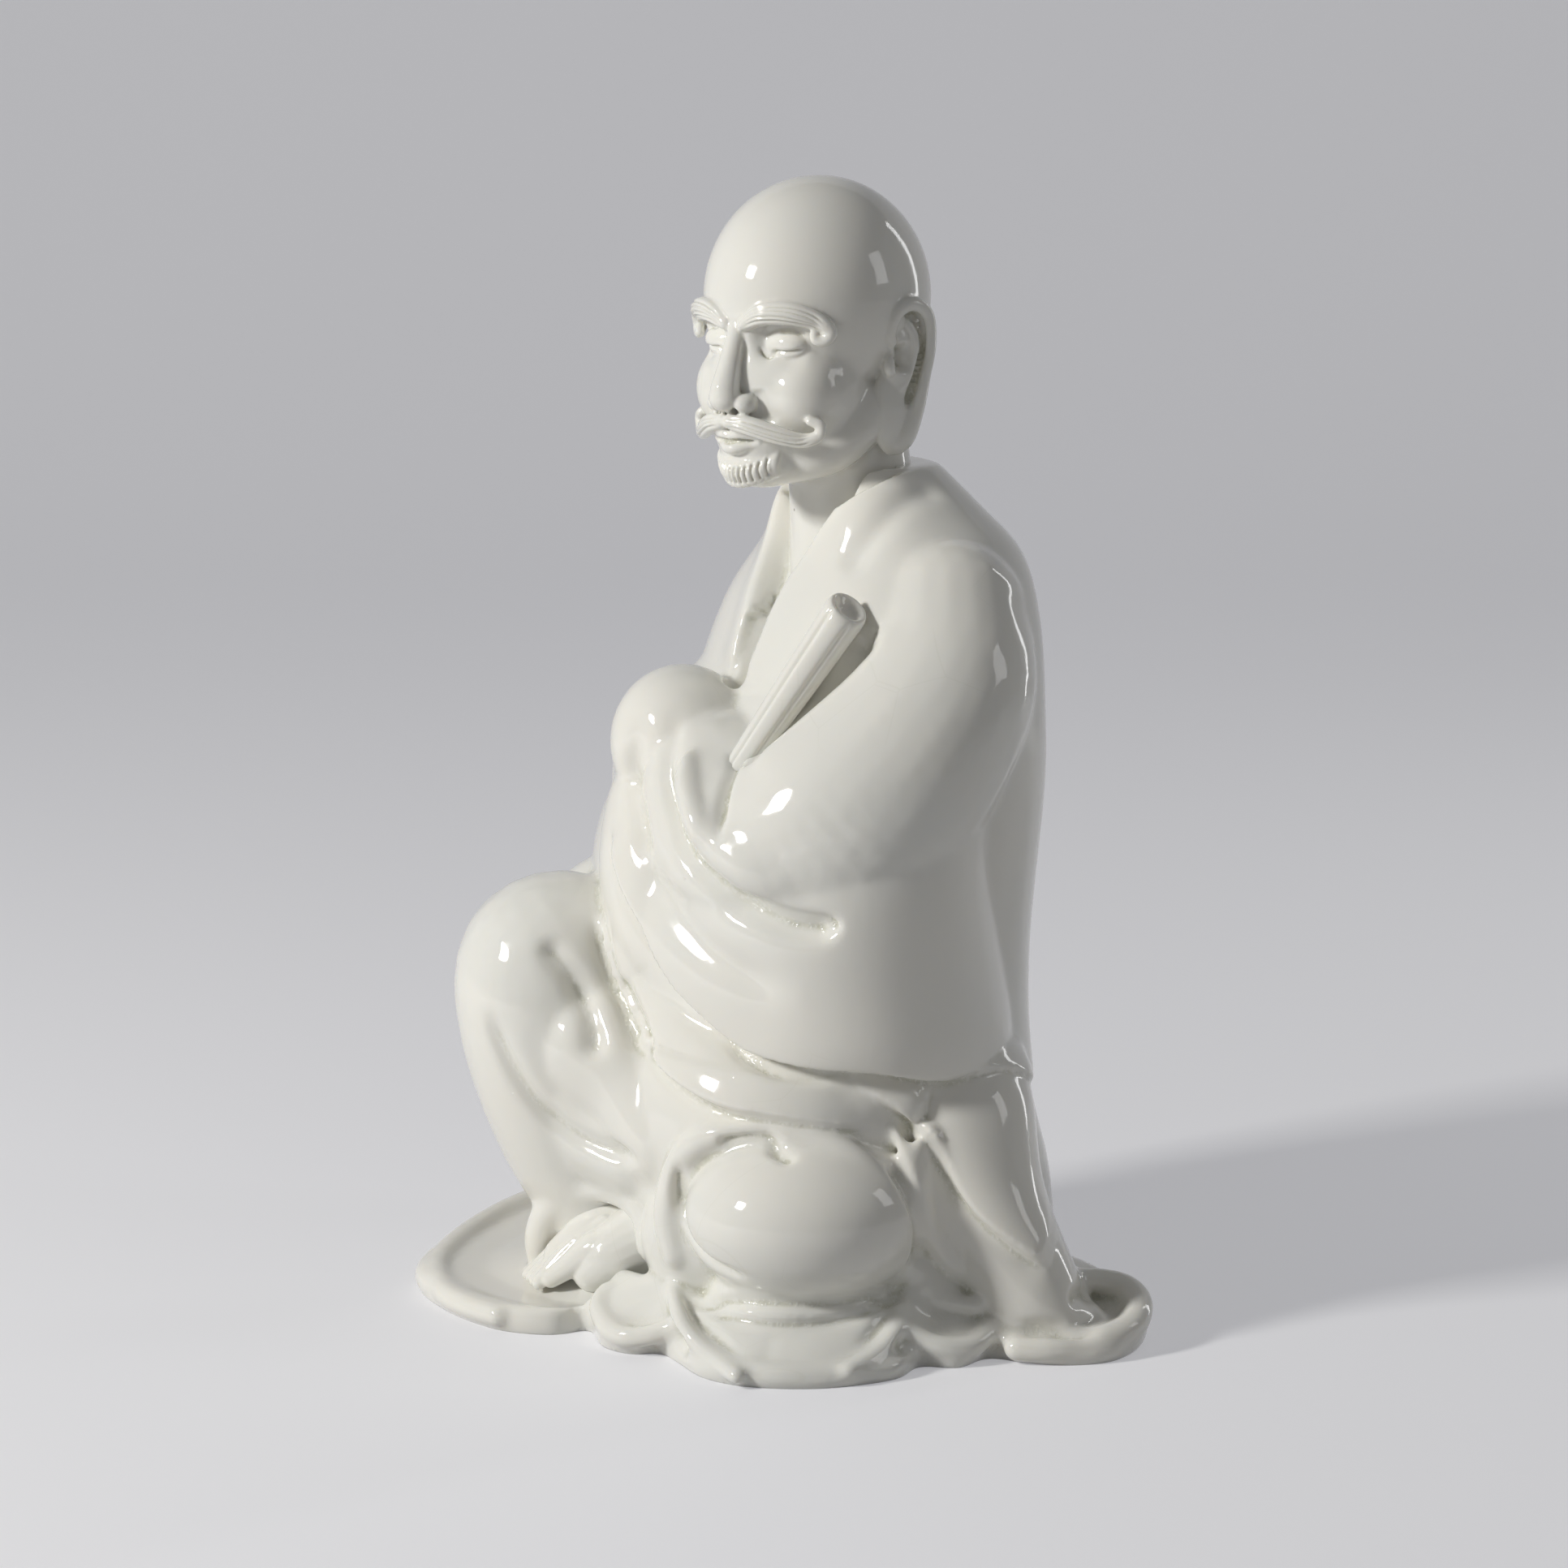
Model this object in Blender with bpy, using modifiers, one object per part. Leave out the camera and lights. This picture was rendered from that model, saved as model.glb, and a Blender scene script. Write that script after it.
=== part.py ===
"""Seated monk in white glazed porcelain, one hollow piece open below, about 200 mm tall.

Masses (lofts, tapered limbs, balls) are fused by a voxel remesh, worked over with strokes for
folds, hems and grooves, thinned out, and hollowed from below by two Booleans. Sizes are in
millimetres and degrees; x is the figure's left, -y is its front and z is up. The finished mesh
is scaled to metres with the centre of its footprint on the origin.
"""

import math

import bmesh
import bpy
import numpy as np
from mathutils import Matrix, Vector
from mathutils.bvhtree import BVHTree

# Overall make
MM = 0.001
VOXEL = 0.8
SOFTENING = 9
MOST_TRIANGLES = 10400

# Head
HEAD_HEIGHT = 172.5
HEAD_FORWARD = 5.6
HEAD_TURN = 25.0
SKULL_HALF_WIDTH = 18.4
SKULL_HALF_DEPTH = 21.6
SKULL_HALF_HEIGHT = 21.0
FACE_HALF_WIDTH = 14.6
EYE_SPACING = 7.4
EYE_RADIUS = 4.0
NOSE_LENGTH = 12.0
NOSE_RADIUS = 3.1
BROW_RADIUS = 1.7
MOUSTACHE_RADIUS = 1.5
EAR_LENGTH = 24.0
NECK_RADIUS = 10.8

# Arms and scroll
SHOULDER_RADIUS = 14.0
LEFT_SLEEVE_RADIUS = 20.0
RIGHT_FOREARM_RADIUS = 13.0
HAND_RADIUS = 12.8
SCROLL_LENGTH = 41.0
SCROLL_RADIUS = 4.5

# Legs and foot
KNEE_RADIUS = 17.0
SHIN_RADIUS = 14.8
ANKLE_RADIUS = 12.0
FOLDED_KNEE_WIDTH = 20.0
FOLDED_KNEE_DEPTH = 22.0
FOLDED_KNEE_HEIGHT = 15.5
FOOT_RADIUS = 6.8
TOE_RADIUS = 2.2

# Cloth
RIM_RADIUS = 2.2
HEM_STEP = 3.4
SOFT_FOLD = 1.5
DEEP_FOLD = 2.8
COLLAR_STEP = 1.6
OPENING_DEPTH = 4.2
TRENCH_WALL = 1.4
LEG_GROOVE = 1.5

# Hollow from below
MOUTH_HALF_WIDTH = 36.0
MOUTH_HALF_DEPTH = 28.0
HOLLOW_TOP = 128.0

collection = bpy.data.collections.new("bodhidharma figure")
helpers = bpy.data.collections.new("cutters")


def start():
    for old in list(bpy.data.objects):
        bpy.data.objects.remove(old)
    bpy.context.scene.collection.children.link(collection)
    bpy.context.scene.collection.children.link(helpers)


def linked(name, mesh, where=collection):
    made = bpy.data.objects.new(name, mesh)
    where.objects.link(made)
    return made


def from_bmesh(name, bm, where=collection):
    mesh = bpy.data.meshes.new(name)
    bm.to_mesh(mesh)
    bm.free()
    return linked(name, mesh, where)


def through(points, steps, closed=False):
    """A smooth run of points through the given ones; every column is carried along."""
    given = np.array(points, float)
    if closed:
        given = np.vstack([given[-1], given, given[0], given[1]])
    else:
        given = np.vstack([2 * given[0] - given[1], given, 2 * given[-1] - given[-2]])
    run = []
    for i in range(1, len(given) - 2):
        before, here, after, beyond = given[i - 1 : i + 3]
        for t in np.arange(steps) / steps:
            line = (after - before) * t
            square = (2 * before - 5 * here + 4 * after - beyond) * t**2
            cube = (3 * here - before - 3 * after + beyond) * t**3
            run.append(here + 0.5 * (line + square + cube))
    if not closed:
        run.append(given[-2])
    return np.array(run)


def ball(name, centre, radii, frame=Matrix()):
    bm = bmesh.new()
    place = frame @ Matrix.Translation(centre) @ Matrix.Diagonal((*radii, 1))
    bmesh.ops.create_uvsphere(bm, u_segments=40, v_segments=20, radius=1, matrix=place)
    return from_bmesh(name, bm)


def limb(name, stations, frame=Matrix()):
    """A bevelled curve through (x, y, z, radius) stations, rounded off at both ends."""
    run = through(stations, 6)
    caps = []
    for end, inner in ((run[0], run[1]), (run[-1], run[-2])):
        out = (end[:3] - inner[:3]) / np.linalg.norm(end[:3] - inner[:3])
        cap = []
        for angle in (30, 60, 80):
            tip = end[:3] + out * end[3] * math.sin(math.radians(angle))
            cap.append([*tip, end[3] * math.cos(math.radians(angle))])
        caps.append(cap)
    run = caps[0][::-1] + run.tolist() + caps[1]
    curve = bpy.data.curves.new(name, "CURVE")
    curve.dimensions = "3D"
    curve.bevel_depth = 1
    curve.bevel_resolution = 6
    curve.use_fill_caps = True
    spline = curve.splines.new("POLY")
    spline.points.add(len(run) - 1)
    for point, (x, y, z, radius) in zip(spline.points, run):
        point.co = (x, y, z, 1)
        point.radius = radius
    made = bake(linked(name, curve))
    made.data.transform(frame)
    return made


def bridged(name, rings, where=collection):
    """A closed skin over rings of equal count, the first at the bottom."""
    bm = bmesh.new()
    rows = [[bm.verts.new(point) for point in ring] for ring in rings]
    for low, high in zip(rows, rows[1:]):
        for k in range(len(low)):
            n = (k + 1) % len(low)
            bm.faces.new((low[k], low[n], high[n], high[k]))
    bm.faces.new(rows[0][::-1])
    bm.faces.new(rows[-1])
    bmesh.ops.recalc_face_normals(bm, faces=bm.faces)
    return from_bmesh(name, bm, where)


def loft(name, sections, power=2.3, around=56, where=collection):
    """A skin over rounded sections (z, centre x, centre y, half width, half depth)."""
    rings = []
    for z, x, y, wide, deep in through(sections, 3):
        ring = []
        for k in range(around):
            c = math.cos(2 * math.pi * k / around)
            s = math.sin(2 * math.pi * k / around)
            reach = (abs(c) ** power + abs(s) ** power) ** (-1 / power)
            ring.append((x + wide * reach * c, y + deep * reach * s, z))
        rings.append(ring)
    return bridged(name, rings, where)


def spread(name, outline):
    """The robe's spread on the ground: an outline of (x, y, height), rising towards the middle."""
    edge = through(outline, 8, closed=True)
    low = -2.0
    rings = []
    for share, drop in ((0.3, None), (0.94, None), (0.99, 0.1), (1.0, 0.5), (0.99, 0.85), (0.96, 1.0)):
        rings.append([(x * share, y * share, low if drop is None else z * drop) for x, y, z in edge])
    for share, lift in ((0.9, -0.7), (0.8, -0.8), (0.68, 0.8), (0.54, 6.0), (0.35, 15.0)):
        rings.append([(x * share, y * share, z + lift) for x, y, z in edge])
    return bridged(name, rings)


def bake(made):
    """The object with its modifiers, or its curve, turned into plain mesh."""
    bpy.context.view_layer.update()
    graph = bpy.context.evaluated_depsgraph_get()
    mesh = bpy.data.meshes.new_from_object(made.evaluated_get(graph))
    name = made.name
    bpy.data.objects.remove(made)
    return linked(name, mesh)


def fused(name, masses):
    bm = bmesh.new()
    for mass in masses:
        bm.from_mesh(mass.data)
        bpy.data.objects.remove(mass)
    return remeshed(from_bmesh(name, bm), SOFTENING)


def remeshed(made, softening):
    remesh = made.modifiers.new("one skin", "REMESH")
    remesh.mode = "VOXEL"
    remesh.voxel_size = VOXEL
    soften = made.modifiers.new("soften", "SMOOTH")
    soften.iterations = softening
    return bake(made)


def eased(t):
    t = np.clip(t, 0, 1)
    return t * t * (3 - 2 * t)


def read(mesh):
    mesh.update()
    places = np.empty(len(mesh.vertices) * 3, np.float32)
    facing = np.empty(len(mesh.vertices) * 3, np.float32)
    mesh.vertices.foreach_get("co", places)
    mesh.vertex_normals.foreach_get("vector", facing)
    return places.reshape(-1, 3), facing.reshape(-1, 3)


def stroke(made, route, depth, width, kind="furrow", reach=9.0, fade=(0.15, 0.15)):
    """Works the surface along a route laid onto it: a furrow sinks it, a ridge lifts it, a trench
    sinks it with a flat floor, and a ledge lifts the left side of the route above its right side.
    """
    bm = bmesh.new()
    bm.from_mesh(made.data)
    tree = BVHTree.FromBMesh(bm)
    bm.free()
    widths = np.broadcast_to(np.array(width, float), len(route))
    depths = np.broadcast_to(np.array(depth, float), len(route))
    run = through(np.column_stack([np.array(route, float), widths, depths]), 8)
    line, widths, depths = run[:, :3], run[:, 3], run[:, 4]
    up = np.zeros_like(line)
    for i, point in enumerate(line):
        line[i], up[i], _, _ = tree.find_nearest(Vector(point))
    for _ in range(3):
        line[1:-1] = (line[:-2] + 2 * line[1:-1] + line[2:]) / 4
        up[1:-1] = (up[:-2] + 2 * up[1:-1] + up[2:]) / 4
    along = np.gradient(line, axis=0)
    left = np.cross(up, along)
    left /= np.linalg.norm(left, axis=1)[:, None] + 1e-9
    run_length = np.linalg.norm(np.diff(line, axis=0), axis=1)
    share = np.concatenate([[0], np.cumsum(run_length)]) / run_length.sum()

    places, facing = read(made.data)
    margin = max(3 * widths.max(), 2.2 * reach if kind == "ledge" else 0)
    inside = (places > line.min(0) - margin) & (places < line.max(0) + margin)
    near = np.nonzero(inside.all(1))[0]
    spot = places[near].astype(float)
    gap = np.full(len(near), 1e9)
    which = np.zeros(len(near), int)
    part = np.zeros(len(near))
    for k in range(len(line) - 1):
        step = line[k + 1] - line[k]
        t = np.clip((spot - line[k]) @ step / (step @ step + 1e-12), 0, 1)
        away = np.linalg.norm(spot - line[k] - t[:, None] * step, axis=1)
        closer = away < gap
        gap[closer], which[closer], part[closer] = away[closer], k, t[closer]

    def here(values):
        mix = part if values.ndim == 1 else part[:, None]
        return values[which] * (1 - mix) + values[which + 1] * mix

    wide = here(widths)
    place = here(share)
    ends = eased(place / max(fade[0], 1e-6)) * eased((1 - place) / max(fade[1], 1e-6))
    same_side = np.clip((facing[near] * here(up)).sum(1) * 2 + 0.6, 0, 1)
    if kind == "ridge":
        lift = np.exp(-((gap / wide) ** 2))
    elif kind == "furrow":
        lift = -np.exp(-((gap / wide) ** 2))
    elif kind == "trench":
        lift = -eased((wide - gap) / TRENCH_WALL + 0.5)
    else:
        across = np.sign(((spot - here(line)) * here(left)).sum(1)) * gap
        rise = eased(across / wide + 0.5)
        above = 0.65 * rise * np.exp(-((across / reach) ** 2))
        below = 0.35 * (1 - rise) * np.exp(-((across / (0.45 * reach)) ** 2))
        lift = above - below
    places[near] = spot + facing[near] * (here(depths) * lift * ends * same_side)[:, None]
    made.data.vertices.foreach_set("co", places.ravel())
    made.data.update()


def robe_masses():
    body = [
        (-2, 0, 11, 43, 37),
        (8, 0, 13, 42, 35.5),
        (25, 0, 14, 41, 33),
        (40, 0, 13, 38, 31),
        (65, 0, 14, 38, 29),
        (94, 0, 16, 43, 28),
        (108, 0, 17, 44, 26.5),
        (124, 0, 19.5, 40, 23.5),
        (135, 0, 21.5, 31, 20),
        (143, 0, 19.5, 22, 15.5),
        (150, 0, 17.5, 14, 11),
    ]
    mantle = [
        (46, 0, 9, 43, 30),
        (56, 0, 6, 47, 32),
        (70, 0, 3, 49, 32.5),
        (85, 0, 3, 49.5, 30.5),
        (100, 0, 9, 47, 27),
        (112, 0, 14, 42, 23),
        (120, 0, 19, 32, 16),
    ]
    lap = [
        (14, 0, 2, 37, 32),
        (26, 0, 1, 39, 33),
        (38, 1, 0, 42, 33),
        (50, 1, 0, 41, 30.5),
    ]
    apron = [
        (60, 6, -10, 20, 18),
        (70, 2, -13, 20, 18.5),
        (82, 0, -15, 18.5, 17),
        (96, 0, -15, 15, 14),
        (104, 0, -12, 10, 8),
    ]
    train = [
        (-2, 36, 32, 16, 11),
        (5, 35, 31, 17, 12),
        (14, 30, 28, 19, 13),
        (28, 22, 23, 22, 16),
        (46, 15, 20, 24, 19),
        (56, 10, 18, 22, 16),
    ]
    ground = [
        (-14, -60, 5),
        (2, -55, 5),
        (9, -47, 5),
        (9, -40, 6.5),
        (19, -41, 5.5),
        (25, -38, 4.5),
        (27, -33, 5.5),
        (33, -32, 5),
        (43, -31, 4.8),
        (51, -25, 4.6),
        (56, -14, 4.6),
        (56, -1, 5),
        (51, 6, 6.5),
        (54, 12, 5),
        (51, 19, 6.5),
        (55, 24, 4),
        (60, 31, 4.2),
        (60, 40, 5),
        (51, 49, 7),
        (32, 51, 8),
        (10, 52, 6),
        (-12, 51, 5),
        (-34, 45, 5),
        (-50, 32, 6),
        (-57, 12, 6),
        (-58, -8, 7),
        (-54, -28, 8),
        (-44, -46, 6.5),
        (-30, -59, 5.4),
    ]
    return [
        loft("body", body),
        loft("mantle", mantle, 2.2),
        loft("lap", lap, 2.2),
        loft("apron", apron, 2.2),
        loft("train", train, 2.2),
        spread("spread", ground),
    ]


def rim_masses():
    """Rounded edges of the hem where it lies on the ground, and of the cloth that falls to it."""
    left_lobe = [
        (3, -54, 3.4, RIM_RADIUS),
        (-5, -57, 3.4, RIM_RADIUS + 0.2),
        (-15, -58, 3.4, RIM_RADIUS + 0.3),
        (-28, -55, 4.2, RIM_RADIUS + 0.4),
        (-39, -47, 5.5, RIM_RADIUS + 0.4),
        (-48, -36, 7, RIM_RADIUS + 0.3),
        (-53, -25, 8, RIM_RADIUS + 0.2),
    ]
    left_wave = [
        (11, -34, 9, RIM_RADIUS - 0.4),
        (13, -38, 8, RIM_RADIUS - 0.2),
        (17.5, -39.5, 6, RIM_RADIUS),
        (22, -38.5, 4, RIM_RADIUS + 0.2),
        (25.5, -35.5, 3.8, RIM_RADIUS + 0.1),
        (28, -32, 5.2, RIM_RADIUS - 0.1),
        (31, -29, 6.5, RIM_RADIUS - 0.3),
        (34, -24, 7.5, RIM_RADIUS - 0.6),
    ]
    front = [
        (24, -25, 9.5, RIM_RADIUS - 0.6),
        (33, -28, 7, RIM_RADIUS - 0.3),
        (42, -28.5, 5.2, RIM_RADIUS - 0.1),
        (49.5, -22.5, 4.4, RIM_RADIUS),
        (53.4, -13.5, 4.2, RIM_RADIUS),
        (53, -5.5, 4.8, RIM_RADIUS),
        (50, 0, 6.4, RIM_RADIUS - 0.1),
        (48.5, 3.5, 7.4, RIM_RADIUS - 0.1),
        (49.5, 7, 6.2, RIM_RADIUS),
        (51.3, 11, 4.5, RIM_RADIUS + 0.1),
        (51.5, 15, 4.4, RIM_RADIUS + 0.1),
        (49.5, 18.5, 6.2, RIM_RADIUS - 0.1),
        (46.5, 21, 8.8, RIM_RADIUS - 0.3),
    ]
    fall = [
        (45.5, 9, 26, RIM_RADIUS - 0.4),
        (44, 12, 19.5, RIM_RADIUS - 0.4),
        (43.5, 15.5, 14.8, RIM_RADIUS - 0.3),
        (44, 20.5, 12, RIM_RADIUS - 0.3),
        (44, 28, 10.6, RIM_RADIUS - 0.2),
        (42.5, 36, 10, RIM_RADIUS - 0.1),
        (43, 43, 9.4, RIM_RADIUS + 0.1),
        (46, 47, 8.4, RIM_RADIUS + 0.3),
        (51, 47, 6.8, RIM_RADIUS + 0.4),
        (56, 43, 4.8, RIM_RADIUS + 0.4),
        (57.6, 36, 3.4, RIM_RADIUS + 0.4),
        (57, 28, 2.9, RIM_RADIUS + 0.4),
        (54.5, 22, 2.8, RIM_RADIUS + 0.2),
    ]
    return [
        limb("left lobe rim", left_lobe),
        limb("left wave rim", left_wave),
        limb("front rim", front),
        limb("fall rim", fall),
        limb("lobe pleat", [(46, 26, 4, 1.8), (50, 32, 4.4, 2.0), (51, 38, 4.6, 1.8)]),
        limb("left wave", [(24, -27, 8.5, 3), (20, -33, 5.5, 3.5), (19, -37, 4, 3)]),
        limb("right wave", [(44, 14, 9, 3), (48, 12, 6.5, 3.2), (50, 13, 4.5, 2.8)]),
    ]


def arm_masses():
    left = [
        (26, 21, 125, SHOULDER_RADIUS),
        (33, 16, 112, (SHOULDER_RADIUS + LEFT_SLEEVE_RADIUS) / 2),
        (31, 1, 93, LEFT_SLEEVE_RADIUS),
        (21, -9, 86, LEFT_SLEEVE_RADIUS - 1),
        (9, -14, 94, LEFT_SLEEVE_RADIUS - 5),
    ]
    right = [
        (-26, 21, 125, SHOULDER_RADIUS),
        (-36, 16.5, 110, SHOULDER_RADIUS),
        (-37, 3, 89.5, SHOULDER_RADIUS),
        (-22, -9, 89.5, RIGHT_FOREARM_RADIUS),
        (-6, -15.5, 99, RIGHT_FOREARM_RADIUS - 0.5),
    ]
    masses = [
        ball("hands", (-1, -17.5, 102), (HAND_RADIUS, HAND_RADIUS, HAND_RADIUS + 0.8)),
        limb("left arm", left),
        limb("right arm", right),
    ]
    lean = Vector((0.2, 0.52, 0.83)).normalized()
    middle = Vector((22, -19.5, 96)) + lean * SCROLL_LENGTH / 2
    place = Matrix.Translation(middle) @ lean.to_track_quat("Z", "X").to_matrix().to_4x4()
    bm = bmesh.new()
    bmesh.ops.create_cone(
        bm,
        cap_ends=True,
        segments=32,
        radius1=SCROLL_RADIUS * 0.75,
        radius2=SCROLL_RADIUS,
        depth=SCROLL_LENGTH,
        matrix=place,
    )
    masses.append(from_bmesh("scroll", bm))
    return masses


def leg_masses():
    raised = [
        (-12, 10, 30, 22),
        (-15, -14, 46, 20),
        (-17.5, -34.5, 60, KNEE_RADIUS),
        (-16, -37.5, 52, KNEE_RADIUS - 0.5),
        (-13.5, -34.5, 35, SHIN_RADIUS),
        (-11.5, -28.5, 18, ANKLE_RADIUS),
    ]
    folded = [(14, 12, 24, 22), (26, 0, 24, 20), (32, -8, 24, 18)]
    cuff = [
        (-14, -41, 5, RIM_RADIUS - 0.2),
        (-13, -43, 11, RIM_RADIUS - 0.1),
        (-9.5, -41.5, 17, RIM_RADIUS),
        (-5, -38, 21, RIM_RADIUS + 0.1),
        (0, -34.5, 23, RIM_RADIUS + 0.1),
        (6, -31.5, 22.6, RIM_RADIUS),
        (10.5, -30, 20, RIM_RADIUS - 0.1),
        (12.5, -30, 15, RIM_RADIUS - 0.2),
    ]
    ring = [
        (24, -30, 17, RIM_RADIUS - 0.2),
        (22.5, -30.5, 24, RIM_RADIUS + 0.1),
        (23.5, -29.5, 32, RIM_RADIUS + 0.3),
        (28, -27, 38.5, RIM_RADIUS + 0.4),
        (34, -22, 41.5, RIM_RADIUS + 0.4),
        (40, -14, 42.5, RIM_RADIUS + 0.4),
        (45, -5, 40, RIM_RADIUS + 0.3),
        (48, 1, 34, RIM_RADIUS + 0.1),
        (48, 5, 26, RIM_RADIUS - 0.2),
        (46, 8, 18, RIM_RADIUS - 0.4),
    ]
    sole = [
        (1, -28, 15, FOOT_RADIUS + 0.7),
        (-1, -34, 13.5, FOOT_RADIUS),
        (-4, -39.5, 9.5, FOOT_RADIUS - 1.8),
    ]
    knee = (FOLDED_KNEE_WIDTH, FOLDED_KNEE_DEPTH, FOLDED_KNEE_HEIGHT)
    masses = [
        limb("raised leg", raised),
        limb("low cloth", [(-13, -34, 42, 15), (-5, -31, 34, 11.5), (4, -27, 30, 9.5)]),
        limb("high cloth", [(-6, -32, 48, 13), (3, -28, 42, 10), (12, -25, 34, 9)]),
        limb("cuff", cuff),
        limb("folded thigh", folded),
        ball("folded knee", (33.5, -9, 25), knee),
        ball("between the knees", (18, -20, 18), (13, 12, 13)),
        limb("knee ring", ring),
        ball("right sleeve", (-29, -18, 64), (15, 15, 13.5)),
        ball("heel", (2.5, -32.5, 12), (FOOT_RADIUS, FOOT_RADIUS + 0.7, FOOT_RADIUS - 0.2)),
        limb("foot", sole),
    ]
    for k in range(5):
        x = 0.5 - 2.6 * k
        size = TOE_RADIUS - 0.14 * k
        toe = [
            (x + 1.5, -35.5, 15 - 0.4 * k, size),
            (x, -41, 11 - 0.2 * k, size),
            (x - 0.3, -46 + 0.5 * k, 6, size * 0.9),
        ]
        masses.append(limb("toe", toe))
    return masses


def head_masses():
    frame = Matrix.Translation((0, HEAD_FORWARD, HEAD_HEIGHT))
    frame = frame @ Matrix.Rotation(math.radians(HEAD_TURN), 4, "Z")
    skull = (SKULL_HALF_WIDTH, SKULL_HALF_DEPTH, SKULL_HALF_HEIGHT)
    masses = [
        ball("skull", (0, 2.6, 6.5), skull, frame),
        ball("face", (0, -6, -8), (FACE_HALF_WIDTH, 13, 17), frame),
        ball("nape", (0, 9, -6), (14, 12, 14), frame),
        ball("chin", (0, -11.5, -20.5), (8, 7, 5.5), frame),
        ball("muzzle", (0, -11.5, -16), (8.5, 7.5, 7), frame),
        ball("beard", (0, -15.5, -21.5), (6.2, 5, 4.8), frame),
    ]
    nose = [(0, -17.6, 2, 2), (0, -20.2, -4, 2.4), (0, -22, 2 - NOSE_LENGTH + 0.8, NOSE_RADIUS)]
    masses.append(limb("nose", nose, frame))
    upper_lip = [(-5, -17, -17.2, 0.9), (0, -19.4, -16.2, 1.5), (5, -17, -17.2, 0.9)]
    lower_lip = [(-4, -17, -18.9, 0.9), (0, -19, -19.1, 1.7), (4, -17, -18.9, 0.9)]
    masses += [limb("upper lip", upper_lip, frame), limb("lower lip", lower_lip, frame)]
    low = 5 - EAR_LENGTH
    eye = (EYE_RADIUS + 0.2, EYE_RADIUS, EYE_RADIUS - 0.8)
    for s in (1, -1):
        brow = [
            (2.2 * s, -19.3, 3.6, BROW_RADIUS),
            (7 * s, -17.9, 5.4, BROW_RADIUS + 0.3),
            (12 * s, -14.4, 4.6, BROW_RADIUS),
            (15.8 * s, -11.5, 1.6, BROW_RADIUS - 0.2),
            (17 * s, -11.8, -0.6, BROW_RADIUS - 0.4),
        ]
        moustache = [
            (1 * s, -21, -14, MOUSTACHE_RADIUS),
            (5.5 * s, -19.4, -14.9, MOUSTACHE_RADIUS),
            (10.5 * s, -16.6, -16.8, MOUSTACHE_RADIUS - 0.2),
            (13.6 * s, -14.6, -16.2, MOUSTACHE_RADIUS - 0.3),
            (14.6 * s, -14.4, -13.6, MOUSTACHE_RADIUS - 0.3),
        ]
        ear = [
            (16.8 * s, 1.5, 3.5, 1.3),
            (18.6 * s, 5, 5.2, 1.6),
            (19.4 * s, 9.5, 3.2, 1.7),
            (18.6 * s, 10.4, -4, 1.7),
            (17.4 * s, 8, -12, 2.0),
            (16.4 * s, 6.5, low + 1.5, 2.4),
        ]
        masses += [
            ball("cheek", (8.5 * s, -11.5, -8), (6, 5.5, 7), frame),
            ball("eye", (EYE_SPACING * s, -13.5, 0), eye, frame),
            ball("nostril wing", (3.3 * s, -19.8, 1.2 - NOSE_LENGTH), (2.3, 2.6, 2.1), frame),
            ball("ear root", (16.4 * s, 6.2, -4), (2.4, 4.4, 9), frame),
            ball("lobe", (16.2 * s, 5.5, low + 5), (2.2, 3.4, 6), frame),
            limb("brow", brow, frame),
            limb("moustache", moustache, frame),
            limb("ear rim", ear, frame),
        ]
    neck = [(0, 16, 128, NECK_RADIUS), (0, 11, 145, NECK_RADIUS), (0, 8, 160, NECK_RADIUS + 1)]
    masses.append(limb("neck", neck))
    return masses


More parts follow.
